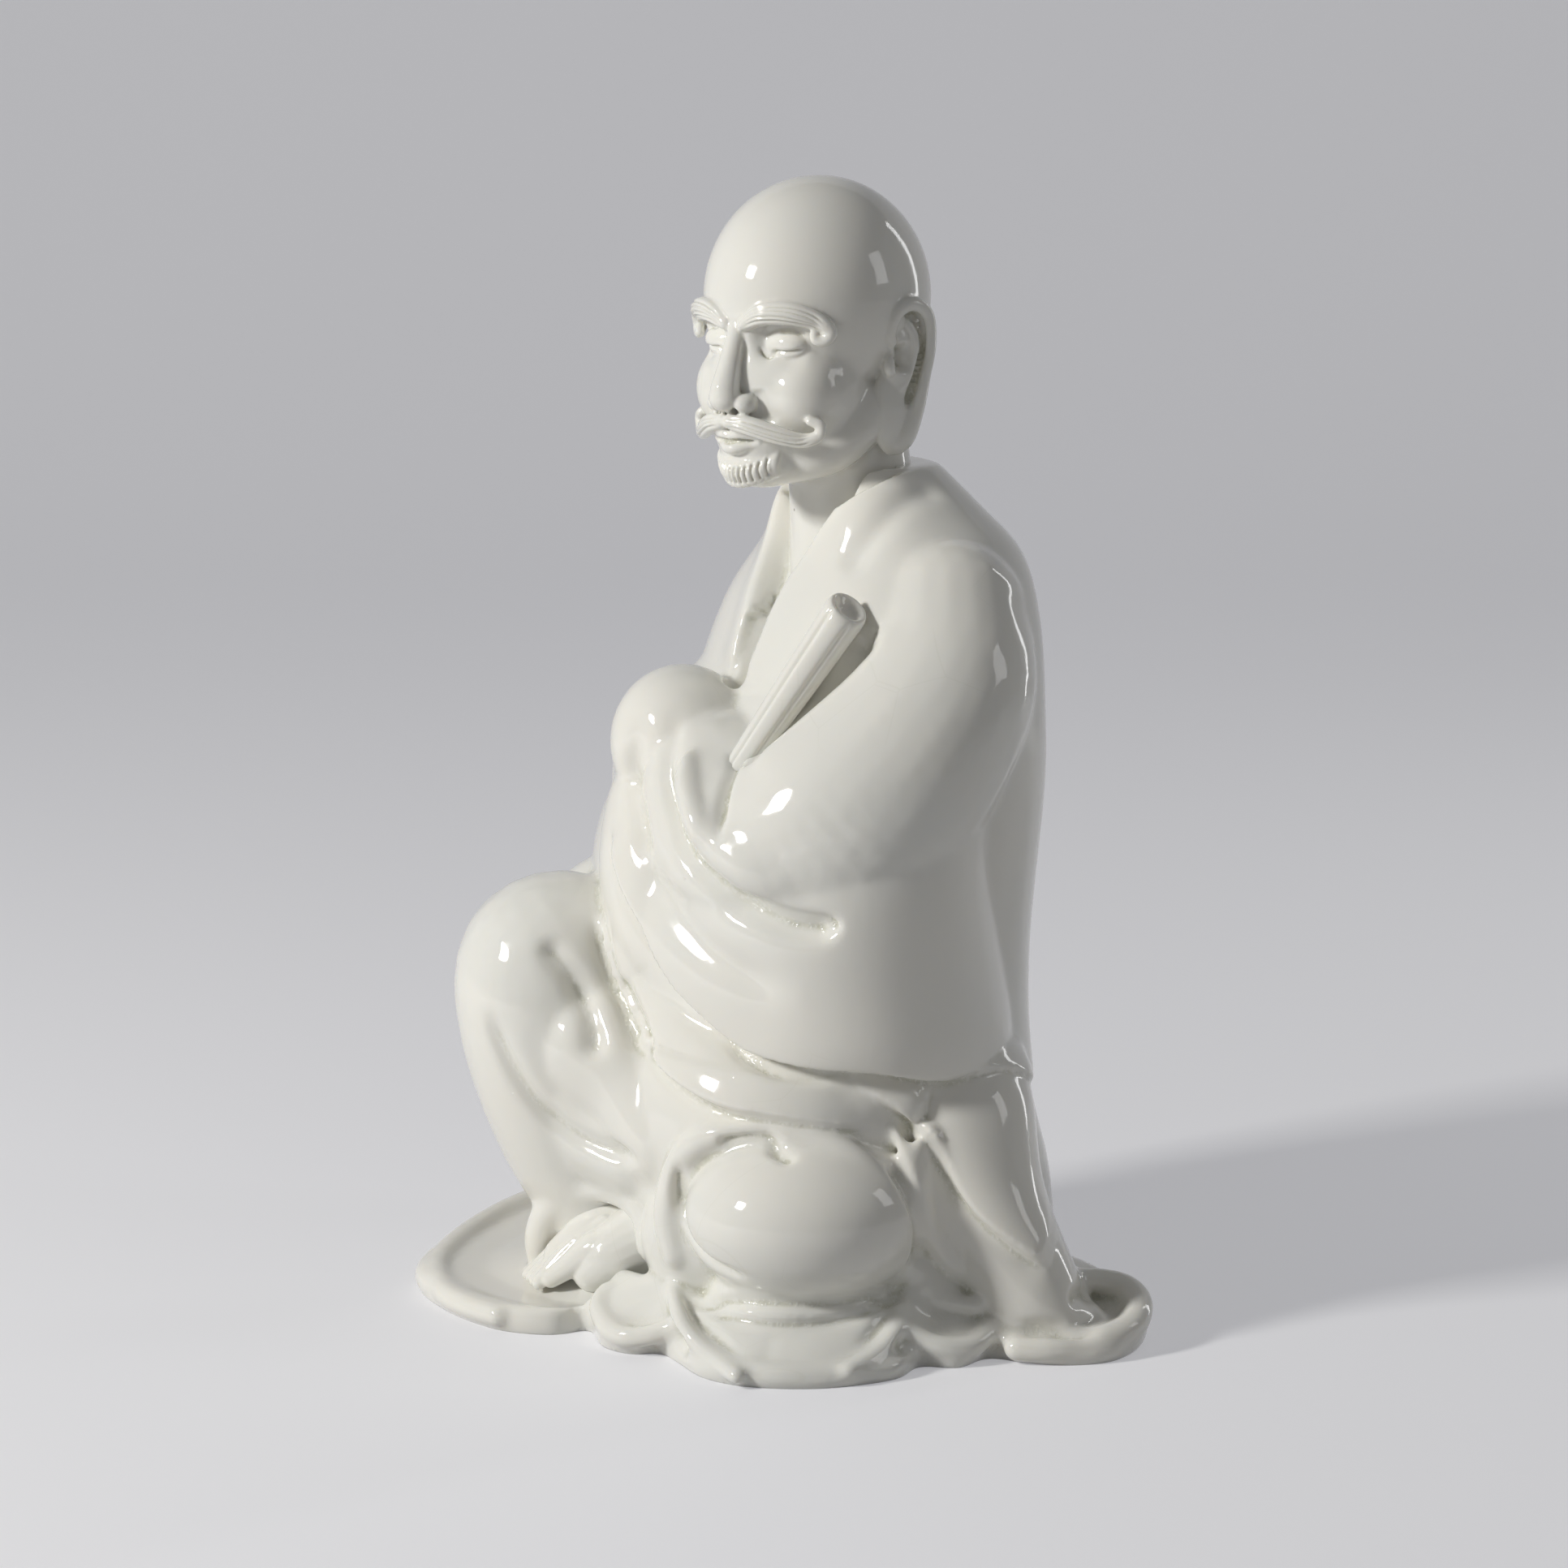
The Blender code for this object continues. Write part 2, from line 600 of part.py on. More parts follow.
def work_robe(figure):
    opening = [(0.5, 6, 146), (0.5, 2, 139), (1, -1, 131), (2, -4, 123), (3, -8, 115), (4, -12, 109)]
    stroke(figure, opening, OPENING_DEPTH, (12, 9.5, 6.8, 4.6, 2.8, 1.4), "trench", fade=(0.01, 0.12))
    left_collar = [
        (13, 22, 150),
        (14.5, 13, 146),
        (12, 6, 142),
        (9, 1, 136),
        (7.5, -3, 129),
        (6.5, -7, 121),
        (6, -13, 111),
    ]
    stroke(figure, left_collar, COLLAR_STEP, 1.2, "ledge", 7)
    right_collar = [
        (-1, -12, 112),
        (-2, -7, 120),
        (-4.5, -3, 129),
        (-7, 1, 136),
        (-11, 6, 142),
        (-15, 13, 146),
    ]
    stroke(figure, right_collar, COLLAR_STEP, 1.2, "ledge", 6)
    collar_fold = [(18, 24, 148), (20, 16, 145), (21, 9, 139), (20, 4, 132)]
    stroke(figure, collar_fold, SOFT_FOLD * 0.7, 2.4)
    beside_scroll = [(33, 5, 126), (31, -3, 117), (29, -11, 108), (27, -17, 100)]
    stroke(figure, beside_scroll, DEEP_FOLD, 3.2)
    notch = [(25, -17, 103), (28, -21, 98), (32, -23, 91)]
    stroke(figure, notch, DEEP_FOLD, 2.0)
    notch_lip = [(18, -24, 103), (24, -26, 96), (30, -25, 89)]
    stroke(figure, notch_lip, SOFT_FOLD, 2.2, "ridge")
    sleeve_fold = [(4, -24, 112), (5, -28, 105), (4, -29, 98), (8, -29, 91), (13, -28, 83)]
    stroke(figure, sleeve_fold, SOFT_FOLD, 2.2)
    long_fold = [
        (8, -21, 111),
        (12, -25, 105),
        (16, -27, 98),
        (22, -27, 90),
        (28, -25, 85),
        (35, -19, 80),
        (40, -12, 77),
        (43, -6, 77),
    ]
    stroke(figure, long_fold, DEEP_FOLD, (1.5, 2, 2.2, 2.4, 2.6, 2.6, 2.4, 2), fade=(0.2, 0.1))
    above_long_fold = [(16, -23, 106), (22, -25, 98), (29, -24, 91), (36, -18, 86), (42, -10, 83)]
    stroke(figure, above_long_fold, SOFT_FOLD * 0.8, 3.5, "ridge", fade=(0.25, 0.3))
    low_fold = [(12, -29, 87), (16, -28, 80), (27, -25, 72), (35, -20, 68), (41, -11, 65)]
    stroke(figure, low_fold, SOFT_FOLD, 3.6, fade=(0.3, 0.3))
    hem = [
        (0, -31, 88),
        (5, -32, 81),
        (11, -30, 74),
        (19, -27, 64.5),
        (26, -24, 59),
        (33, -19, 54),
        (40, -12, 52),
        (44, 2, 51.5),
        (40, 20, 47),
        (31, 33, 43),
        (14, 40, 41),
        (-8, 42, 41),
        (-28, 34, 44),
        (-42, 14, 50),
        (-45, -4, 57),
    ]
    shares = (0.5, 0.8, 1, 1, 1, 1, 1, 0.7, 0.4, 0.25, 0.2, 0.2, 0.25, 0.4, 0.6)
    depths = [HEM_STEP * share for share in shares]
    stroke(figure, hem, depths, 1.6, "ledge", 9, (0.03, 0.06))
    lower_hem = [
        (-7, -33, 71),
        (-3, -32, 65),
        (1, -30, 57),
        (13, -29, 50.5),
        (24, -26, 46),
        (34, -21, 43.5),
        (42, -10, 42),
        (45, 5, 41),
    ]
    stroke(figure, lower_hem, HEM_STEP, 1.6, "ledge", 7, (0.1, 0.08))
    fall_fold = [(48, 9, 38), (49, 13, 29), (49, 18, 21), (48, 25, 15)]
    stroke(figure, fall_fold, SOFT_FOLD * 1.8, 3.2)
    behind_knee = [(46, 2, 40), (47, 5, 32), (47, 8, 24), (44, 11, 17)]
    stroke(figure, behind_knee, SOFT_FOLD * 1.5, 1.8)


def work_legs(figure):
    stroke(figure, [(-5, -43, 68), (-1, -38, 61), (0, -35, 53), (1, -33, 46)], LEG_GROOVE, 2.4)
    outer = [(-8, -53, 56), (-4, -49, 45), (0, -44, 37), (5, -38, 33), (18, -32, 31)]
    stroke(figure, outer, LEG_GROOVE * 0.8, 2.0)
    stroke(figure, [(33, -25, 38), (38, -20, 39.5), (42, -17, 39), (45, -15, 36)], SOFT_FOLD, 1.5)
    stroke(figure, [(27, -29, 35), (27, -29, 27), (33, -28, 21), (44, -23, 17)], SOFT_FOLD, 1.5)
    stroke(figure, [(46, 2, 37), (48, 4, 30), (48, 6, 23), (44, 7, 16)], SOFT_FOLD, 1.8)


def work_ground(figure):
    stroke(figure, [(20, -27, 10), (36, -20, 11), (45, -5, 12), (44, 9, 13)], SOFT_FOLD, 1.8)
    stroke(figure, [(25, -28, 7), (38, -21, 8), (47, -8, 8), (46, 5, 9)], SOFT_FOLD * 0.6, 1.6, "ridge")


def thinned(figure):
    figure = remeshed(figure, 2)
    figure.data.calc_loop_triangles()
    fewer = figure.modifiers.new("thin out", "DECIMATE")
    fewer.ratio = MOST_TRIANGLES / len(figure.data.loop_triangles)
    return bake(figure)


def hollowed(figure):
    wide, deep, top = MOUTH_HALF_WIDTH, MOUTH_HALF_DEPTH, HOLLOW_TOP
    sections = [
        (-4, 0, 9, wide, deep),
        (8, 0, 10, wide - 1, deep - 1),
        (40, 0, 13, wide - 5, deep - 4),
        (80, 0, 17, wide - 7, deep - 7),
        (top - 20, 0, 20, wide - 9, deep - 11),
        (top - 6, 0, 21, wide - 16, deep - 17),
        (top, 0, 21, wide - 28, deep - 23),
    ]
    hollow = loft("hollow", sections, 2.2, 32, helpers)
    below = linked("below ground", bpy.data.meshes.new("below ground"), helpers)
    bm = bmesh.new()
    slab = Matrix.Translation((0, 0, -10)) @ Matrix.Diagonal((300, 300, 20, 1))
    bmesh.ops.create_cube(bm, size=1, matrix=slab)
    bm.to_mesh(below.data)
    bm.free()
    for cutter in (below, hollow):
        cutter.hide_render = True
        cutter.display_type = "WIRE"
        cut = figure.modifiers.new(cutter.name, "BOOLEAN")
        cut.operation = "DIFFERENCE"
        cut.solver = "EXACT"
        cut.object = cutter
    return [figure, hollow, below]


def to_metres(made):
    corners = np.array([vertex.co for vertex in made[0].data.vertices])
    middle = (corners.min(0) + corners.max(0)) / 2
    shift = Matrix.Translation((-middle[0], -middle[1], 0))
    for each in made:
        each.data.transform(Matrix.Scale(MM, 4) @ shift)


def glaze():
    material = bpy.data.materials.new("white glazed porcelain")
    material.use_nodes = True
    shader = material.node_tree.nodes["Principled BSDF"]
    shader.inputs["Base Color"].default_value = (0.80, 0.79, 0.73, 1)
    shader.inputs["Roughness"].default_value = 0.12
    shader.inputs["IOR"].default_value = 1.5
    return material


start()
masses = robe_masses() + rim_masses() + arm_masses() + leg_masses() + head_masses()
figure = fused("figure", masses)
work_robe(figure)
work_legs(figure)
work_ground(figure)
figure = thinned(figure)
figure.data.shade_smooth()
figure.data.materials.clear()
figure.data.materials.append(glaze())
to_metres(hollowed(figure))
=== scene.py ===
"""Looks of the seated monk in white glazed porcelain.

The clay masses are joined by a voxel remesh, worked over with strokes for folds, hems and
features, cut flat at the ground and hollowed, then covered with a procedural glaze. Places in
the tables are millimetres before the footprint is centred: x is the figure's left, -y its front.
"""

import math

import bmesh
import bpy
import numpy as np
from bpy.props import FloatProperty, FloatVectorProperty, IntProperty, PointerProperty
from mathutils import Matrix, Vector
from mathutils.bvhtree import BVHTree


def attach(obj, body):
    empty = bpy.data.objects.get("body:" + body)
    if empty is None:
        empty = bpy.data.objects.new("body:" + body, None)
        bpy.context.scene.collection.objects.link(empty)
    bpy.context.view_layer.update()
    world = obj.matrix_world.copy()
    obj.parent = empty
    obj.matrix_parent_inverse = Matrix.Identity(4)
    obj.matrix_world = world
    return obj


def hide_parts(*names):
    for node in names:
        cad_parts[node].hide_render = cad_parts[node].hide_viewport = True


bl_info = {
    "name": "Porcelain Monk",
    "version": (1, 0, 0),
    "blender": (4, 5, 0),
    "location": "3D View > Sidebar > Porcelain",
    "description": "Models a seated porcelain monk, its glaze and a studio",
    "category": "Object",
}

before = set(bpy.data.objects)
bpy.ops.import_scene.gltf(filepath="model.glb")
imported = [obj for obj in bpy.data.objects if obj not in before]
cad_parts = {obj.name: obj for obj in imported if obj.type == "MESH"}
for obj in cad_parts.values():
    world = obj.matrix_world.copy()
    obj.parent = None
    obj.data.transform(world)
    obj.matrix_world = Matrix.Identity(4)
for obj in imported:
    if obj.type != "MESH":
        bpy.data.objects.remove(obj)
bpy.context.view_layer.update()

MM = 0.001
# Middle of the figure's footprint in the tables' millimetres
FOOTPRINT_MIDDLE = Vector((1.32, -4.25, 0))
TO_METRES = Matrix.Scale(MM, 4) @ Matrix.Translation(-FOOTPRINT_MIDDLE)

# How strokes work a skin
TRENCH_WALL = 1.3  # width of a trench's sloping wall in millimetres
LEDGE_ABOVE = 0.65  # share of a ledge's step that lies above its line
LEDGE_BELOW_REACH = 0.45  # reach of a ledge's lower side, as a share of its upper side's
ROUND_THE_EDGE = 0.6  # how far a stroke holds on round an edge


# Settings


def length(name, description, default):
    return FloatProperty(
        name=name, description=description, default=default, min=0, unit="LENGTH", precision=5
    )


def angle(name, description, degrees):
    return FloatProperty(
        name=name, description=description, default=math.radians(degrees), subtype="ANGLE"
    )


def colour(name, description, default):
    return FloatVectorProperty(
        name=name, description=description, default=default, subtype="COLOR", min=0, max=1
    )


class RobeSizes(bpy.types.PropertyGroup):
    """Sizes of the robed body and its folds"""

    grain: length("Clay grain", "Size of the cubes that join the masses", 0.00048)
    hem_step: length("Hem step", "How far a hem stands over the cloth below it", 0.0034)
    deep_fold: length("Deep fold", "Depth of the long sleeve folds", 0.0030)
    soft_fold: length("Soft fold", "Depth of the shallow folds", 0.0016)
    collar_step: length("Collar step", "How far the collar stands over the chest", 0.0018)
    opening_depth: length("Opening depth", "How far the chest lies behind the collar", 0.0042)
    leg_groove: length("Leg groove", "Depth of the grooves down the raised leg", 0.0019)
    softening: IntProperty(
        name="Softening", description="Passes of smoothing on the joined masses", default=26
    )


class HeadSizes(bpy.types.PropertyGroup):
    """Sizes of the head"""

    grain: length("Clay grain", "Size of the cubes that join the masses", 0.00024)
    turn: angle("Turn", "Turn to the figure's left", 25)
    back: length("Back", "How far behind the axis the head sits", 0.0056)
    height: length("Height", "Height of the eyes' level above ground", 0.1725)
    ear_length: length("Ear length", "From the top of the ear to the end of the lobe", 0.0240)


class ScrollSizes(bpy.types.PropertyGroup):
    """Sizes of the rolled scroll"""

    length: length("Length", "From the sleeve to the end disc", 0.0400)
    radius: length("Radius", "Radius of the upper end", 0.0037)
    end_slant: FloatProperty(
        name="End slant", description="Slope of the end towards the viewer", default=0.38, min=0
    )


class GlazeLook(bpy.types.PropertyGroup):
    """Colours of the glaze and the bare clay"""

    white: colour("White", "Glaze over the open surfaces", (0.83, 0.815, 0.76))
    cool: colour("Cool white", "Cooler patches of the glaze", (0.80, 0.797, 0.755))
    # Colour of glaze gathered in the hollows, also used as painted shade that darkens creases and hollows;
    # the crackle lines use it too
    pooled_glaze_and_shade: colour("Pooled", "Glaze gathered in the hollows", (0.58, 0.575, 0.47))
    speck: colour("Speck", "Small dark specks", (0.16, 0.13, 0.09))
    bare: colour("Bare clay", "Unglazed foot and inside", (0.70, 0.66, 0.57))


class StudioLook(bpy.types.PropertyGroup):
    """Camera, floor and lamps"""

    azimuth: angle("Azimuth", "Camera angle from the front", 68)
    elevation: angle("Elevation", "Camera height angle", 10)
    distance: length("Distance", "From the camera to its target", 0.808)
    target: length("Target height", "Height the camera looks at", 0.0933)
    slide: length("Slide", "How far to the right of the axis the camera looks", 0.0011)
    lens: FloatProperty(name="Lens", description="Focal length in millimetres", default=105)
    floor: colour("Floor", "Floor and backdrop", (0.60, 0.60, 0.61))


# Shapes


def through(points, steps, closed=False):
    """A smooth run of points through the given ones; every column is carried along."""
    given = np.array(points, float)
    if closed:
        given = np.vstack([given[-1], given, given[0], given[1]])
    else:
        given = np.vstack([2 * given[0] - given[1], given, 2 * given[-1] - given[-2]])
    run = []
    for i in range(1, len(given) - 2):
        before, here, after, beyond = given[i - 1 : i + 3]
        for t in np.arange(steps) / steps:
            line = (after - before) * t
            square = (2 * before - 5 * here + 4 * after - beyond) * t**2
            cube = (3 * here - before - 3 * after + beyond) * t**3
            run.append(here + 0.5 * (line + square + cube))
    if not closed:
        run.append(given[-2])
    return np.array(run)


def heap(pile, bm):
    """Adds a finished mass to the pile of masses."""
    mass = bpy.data.meshes.new("mass")
    bm.to_mesh(mass)
    bm.free()
    pile.from_mesh(mass)
    bpy.data.meshes.remove(mass)


def ball(pile, centre, radii, place=Matrix()):
    put = place @ Matrix.Translation(centre) @ Matrix.Diagonal((*radii, 1))
    bm = bmesh.new()
    bmesh.ops.create_uvsphere(bm, u_segments=64, v_segments=32, radius=1, matrix=put)
    heap(pile, bm)


def limb(pile, stations, place=Matrix(), steps=8):
    """A tapered limb through (x, y, z, radius) stations, made of cones with a ball at each joint."""
    run = through(stations, steps)
    bm = bmesh.new()
    for x, y, z, radius in run:
        put = place @ Matrix.Translation((x, y, z))
        bmesh.ops.create_icosphere(bm, subdivisions=3, radius=radius, matrix=put)
    for low, high in zip(run, run[1:]):
        along = Vector(high[:3] - low[:3])
        turn = along.to_track_quat("Z", "X").to_matrix().to_4x4()
        put = place @ Matrix.Translation((low[:3] + high[:3]) / 2) @ turn
        bmesh.ops.create_cone(
            bm, cap_ends=True, segments=32, radius1=low[3], radius2=high[3], depth=along.length, matrix=put
        )
    heap(pile, bm)


def stack(bm, rings, closed=True):
    """A form whose bottom ring is extruded through the rings above it. Returns its top face."""
    circle = bmesh.ops.create_circle(bm, cap_ends=True, segments=len(rings[0]), radius=1)
    top = circle["verts"][0].link_faces[0]
    for vert, place in zip(top.verts, rings[0]):
        vert.co = place
    for ring in rings[1:]:
        top = bmesh.ops.extrude_discrete_faces(bm, faces=[top])["faces"][0]
        for vert, place in zip(top.verts, ring):
            vert.co = place
    if closed:
        bmesh.ops.holes_fill(bm, edges=[edge for edge in bm.edges if edge.is_boundary])
    return top


def rounded_rings(sections, power, around, steps):
    """Rings of rounded sections (z, centre x, centre y, half width, half depth)."""
    angles = 2 * math.pi * np.arange(around) / around
    c, s = np.cos(angles), np.sin(angles)
    reach = (np.abs(c) ** power + np.abs(s) ** power) ** (-1 / power)
    rings = []
    for z, x, y, wide, deep in through(sections, steps):
        rings.append(np.column_stack([x + wide * reach * c, y + deep * reach * s, np.full(around, z)]))
    return rings


def loft(pile, sections, power=2.3, around=96, steps=8):
    bm = bmesh.new()
    stack(bm, rounded_rings(sections, power, around, steps))
    heap(pile, bm)


def sheet(pile, inner, rim, radius, ribs):
    """Cloth laid between two edges, as a row of close ribs."""
    edges = []
    for edge in (inner, rim):
        run = through(edge, 12)
        edges.append(run[np.linspace(0, len(run) - 1, ribs).astype(int)])
    for start, end in zip(*edges):
        limb(pile, [(*start, radius), (*(start + end) / 2, radius), (*end, radius)], steps=2)


def mesh_object(name, bm):
    bmesh.ops.recalc_face_normals(bm, faces=bm.faces)
    mesh = bpy.data.meshes.new(name)
    bm.to_mesh(mesh)
    bm.free()
    made = bpy.data.objects.new(name, mesh)
    bpy.context.scene.collection.objects.link(made)
    return made


def baked(made):
    """Turns the object's modifiers into its mesh."""
    bpy.context.view_layer.update()
    graph = bpy.context.evaluated_depsgraph_get()
    mesh = bpy.data.meshes.new_from_object(made.evaluated_get(graph))
    made.modifiers.clear()
    old, made.data = made.data, mesh
    bpy.data.meshes.remove(old)
    return made


def joined(made, grain, softening):
    """One skin round all the masses, smoothed."""
    remesh = made.modifiers.new("one skin", "REMESH")
    remesh.mode = "VOXEL"
    remesh.voxel_size = grain
    if softening:
        soften = made.modifiers.new("soften", "SMOOTH")
        soften.iterations = softening
    return baked(made)


def eased(t):
    t = np.clip(t, 0, 1)
    return t * t * (3 - 2 * t)


def places_of(mesh):
    places = np.empty(len(mesh.vertices) * 3, np.float32)
    mesh.vertices.foreach_get("co", places)
    return places.reshape(-1, 3)


def facing_of(mesh):
    facing = np.empty(len(mesh.vertices) * 3, np.float32)
    mesh.vertex_normals.foreach_get("vector", facing)
    return facing.reshape(-1, 3)


def nearest(spots, line):
    """Each spot's distance from a line, the span of the line it is nearest to, and the share along it."""
    gap = np.full(len(spots), 1e9)
    which = np.zeros(len(spots), int)
    part = np.zeros(len(spots))
    for k, step in enumerate(np.diff(line, axis=0)):
        t = np.clip((spots - line[k]) @ step / (step @ step + 1e-12), 0, 1)
        away = np.linalg.norm(spots - line[k] - t[:, None] * step, axis=1)
        closer = away < gap
        gap[closer], which[closer], part[closer] = away[closer], k, t[closer]
    return gap, which, part


def stroke_lift(kind, gap, across, wide, reach):
    """How much of its depth a stroke lifts the surface by, at a distance from its line."""
    if kind == "ridge":
        return np.exp(-((gap / wide) ** 2))
    if kind == "furrow":
        return -np.exp(-((gap / wide) ** 2))
    if kind == "trench":
        return -eased((wide - gap) / TRENCH_WALL + 0.5)
    rise = eased(across / wide + 0.5)
    above = LEDGE_ABOVE * rise * np.exp(-((across / reach) ** 2))
    below = (1 - LEDGE_ABOVE) * (1 - rise) * np.exp(-((across / (LEDGE_BELOW_REACH * reach)) ** 2))
    return above - below


class Skin:
    """A joined skin that strokes are worked into."""

    def __init__(self, made, place=Matrix()):
        self.mesh = made.data
        self.place = place
        bm = bmesh.new()
        bm.from_mesh(self.mesh)
        self.tree = BVHTree.FromBMesh(bm)
        bm.free()

    def laid(self, route, width, depth):
        """The route as a smooth line on the surface, with the way up, the width and the depth along it."""
        stations = [tuple(self.place @ Vector(point)) for point in route]
        widths = np.broadcast_to(np.array(width, float), len(route))
        depths = np.broadcast_to(np.array(depth, float), len(route))
        run = through(np.column_stack([stations, widths, depths]), 8)
        line, widths, depths = run[:, :3], run[:, 3], run[:, 4]
        up = np.zeros_like(line)
        for i, point in enumerate(line):
            line[i], up[i], _, _ = self.tree.find_nearest(Vector(point))
        for _ in range(3):
            line[1:-1] = (line[:-2] + 2 * line[1:-1] + line[2:]) / 4
            up[1:-1] = (up[:-2] + 2 * up[1:-1] + up[2:]) / 4
        return line, up, widths, depths

    def stroke(self, route, depth, width, kind="furrow", reach=9.0, fade=(0.15, 0.15)):
        """Works the surface along a route: a furrow sinks it, a ridge lifts it, a trench sinks it
        with a flat floor, and a ledge lifts the left side of the route above its right side.
        """
        line, up, widths, depths = self.laid(route, width, depth)
        left = np.cross(up, np.gradient(line, axis=0))
        left /= np.linalg.norm(left, axis=1)[:, None] + 1e-9
        spans = np.linalg.norm(np.diff(line, axis=0), axis=1)
        share = np.concatenate([[0], np.cumsum(spans)]) / spans.sum()

        places = places_of(self.mesh)
        facing = facing_of(self.mesh)
        margin = max(3 * widths.max(), 2.2 * reach if kind == "ledge" else 0)
        inside = (places > line.min(0) - margin) & (places < line.max(0) + margin)
        near = np.nonzero(inside.all(1))[0]
        spots = places[near].astype(float)
        gap, which, part = nearest(spots, line)

        def here(values):
            mix = part if values.ndim == 1 else part[:, None]
            return values[which] * (1 - mix) + values[which + 1] * mix

        along = here(share)
        ends = eased(along / max(fade[0], 1e-6)) * eased((1 - along) / max(fade[1], 1e-6))
        same_side = np.clip((facing[near] * here(up)).sum(1) * 2 + ROUND_THE_EDGE, 0, 1)
        across = np.sign(((spots - here(line)) * here(left)).sum(1)) * gap
        lift = stroke_lift(kind, gap, across, here(widths), reach)
        places[near] = spots + facing[near] * (here(depths) * lift * ends * same_side)[:, None]
        self.mesh.vertices.foreach_set("co", places.ravel())
        self.mesh.update()


def mark_hollows(made):
    """Keeps how deep each point lies in a crease or a hollow, as the attributes crease and pool."""
    start = places_of(made.data)
    facing = facing_of(made.data)
    for name, passes, full in (("crease", 14, 0.16), ("broad_hollow", 120, 0.75)):
        soften = made.modifiers.new(name, "SMOOTH")
        soften.iterations = passes
        bpy.context.view_layer.update()
        smooth = made.evaluated_get(bpy.context.evaluated_depsgraph_get()).to_mesh()
        depth = ((places_of(smooth) - start) * facing).sum(1)
        made.modifiers.clear()
        kept = made.data.attributes.new(name, "FLOAT", "POINT")
        kept.data.foreach_set("value", np.clip(depth / full, -1, 1).astype(np.float32))


def thinned(made, most):
    made.data.calc_loop_triangles()
    count = len(made.data.loop_triangles)
    if count > most:
        fewer = made.modifiers.new("thin out", "DECIMATE")
        fewer.ratio = most / count
        baked(made)


def hand_over(made, finishes):
    """Brings a finished piece from millimetres to its place and gives it its materials."""
    made.data.transform(TO_METRES)
    made.data.shade_smooth()
    made.data.materials.clear()
    for finish in finishes:
        made.data.materials.append(finish)
    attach(made, "root")
    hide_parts("figure")


# The robed body


def robe_masses(pile):
    body = [
        (-2, 0, 11, 43, 37),
        (8, 0, 13, 42, 35.5),
        (25, 0, 14, 41, 33),
        (40, 0, 13, 38, 31),
        (65, 0, 14, 38, 29),
        (94, 0, 16, 43, 28),
        (108, 0, 17, 44, 26.5),
        (124, 0, 19.5, 40, 23.5),
        (135, 0, 21.5, 31, 20),
        (143, 0, 19.5, 22, 15.5),
        (150, 0, 17.5, 14, 11),
    ]
    mantle = [
        (46, 0, 9, 43, 30),
        (56, 0, 6, 47, 32),
        (70, 0, 3, 49, 32.5),
        (85, 0, 3, 49.5, 30.5),
        (100, 0, 9, 47, 27),
        (112, 0, 14, 42, 23),
        (120, 0, 19, 32, 16),
    ]
    lap = [(14, 0, 2, 37, 32), (26, 0, 1, 39, 33), (38, 1, 0, 42, 33), (50, 1, 0, 41, 30.5)]
    apron = [
        (60, 6, -10, 20, 18),
        (70, 2, -13, 20, 18.5),
        (82, 0, -15, 18.5, 17),
        (96, 0, -15, 15, 14),
        (104, 0, -12, 10, 8),
    ]
    train = [
        (-2, 37, 31, 17, 11),
        (5, 37, 30, 19, 12),
        (14, 33, 26.5, 21.5, 12.5),
        (28, 24, 21.5, 26.5, 14.5),
        (46, 18, 19, 26.5, 17.5),
        (56, 10, 18, 24, 16),
    ]
    loft(pile, body)
    loft(pile, mantle, 2.2)
    loft(pile, lap, 2.2)
    loft(pile, apron, 2.2)
    loft(pile, train, 2.2)


def spread_mass(pile):
    """The robe's spread on the ground: an outline of (x, y, height), rising towards the middle."""
    outline = [
        (-14, -60, 5),
        (2, -55, 5),
        (9, -47, 5),
        (9, -40, 6.5),
        (19, -41, 5.5),
        (25, -38, 4.5),
        (27, -33, 4.5),
        (33, -32, 4.2),
        (43, -31, 3.8),
        (51, -25, 3.4),
        (56, -14, 3.4),
        (56, -1, 3.8),
        (51, 6, 5.5),
        (54, 12, 4),
        (51, 19, 6.5),
        (55, 24, 4),
        (60, 31, 4.2),
        (60, 40, 5),
        (51, 49, 7),
        (32, 51, 8),
        (10, 52, 6),
        (-12, 51, 5),
        (-34, 45, 5),
        (-50, 32, 6),
        (-57, 12, 6),
        (-58, -8, 7),
        (-54, -28, 8),
        (-44, -46, 6.5),
        (-30, -59, 5.4),
    ]
    x, y, height = through(outline, 10, closed=True).T
    low = np.full(len(x), -2.0)
    rings = [np.column_stack([x * share, y * share, low]) for share in (0.3, 0.95)]
    for share, rise in ((0.99, 0.1), (1.0, 0.5), (0.99, 0.85), (0.96, 1.0)):
        rings.append(np.column_stack([x * share, y * share, height * rise]))
    for share, lift in ((0.9, -0.7), (0.8, -0.8), (0.68, 0.8), (0.54, 6.0), (0.35, 15.0)):
        rings.append(np.column_stack([x * share, y * share, height + lift]))
    bm = bmesh.new()
    stack(bm, rings)
    heap(pile, bm)


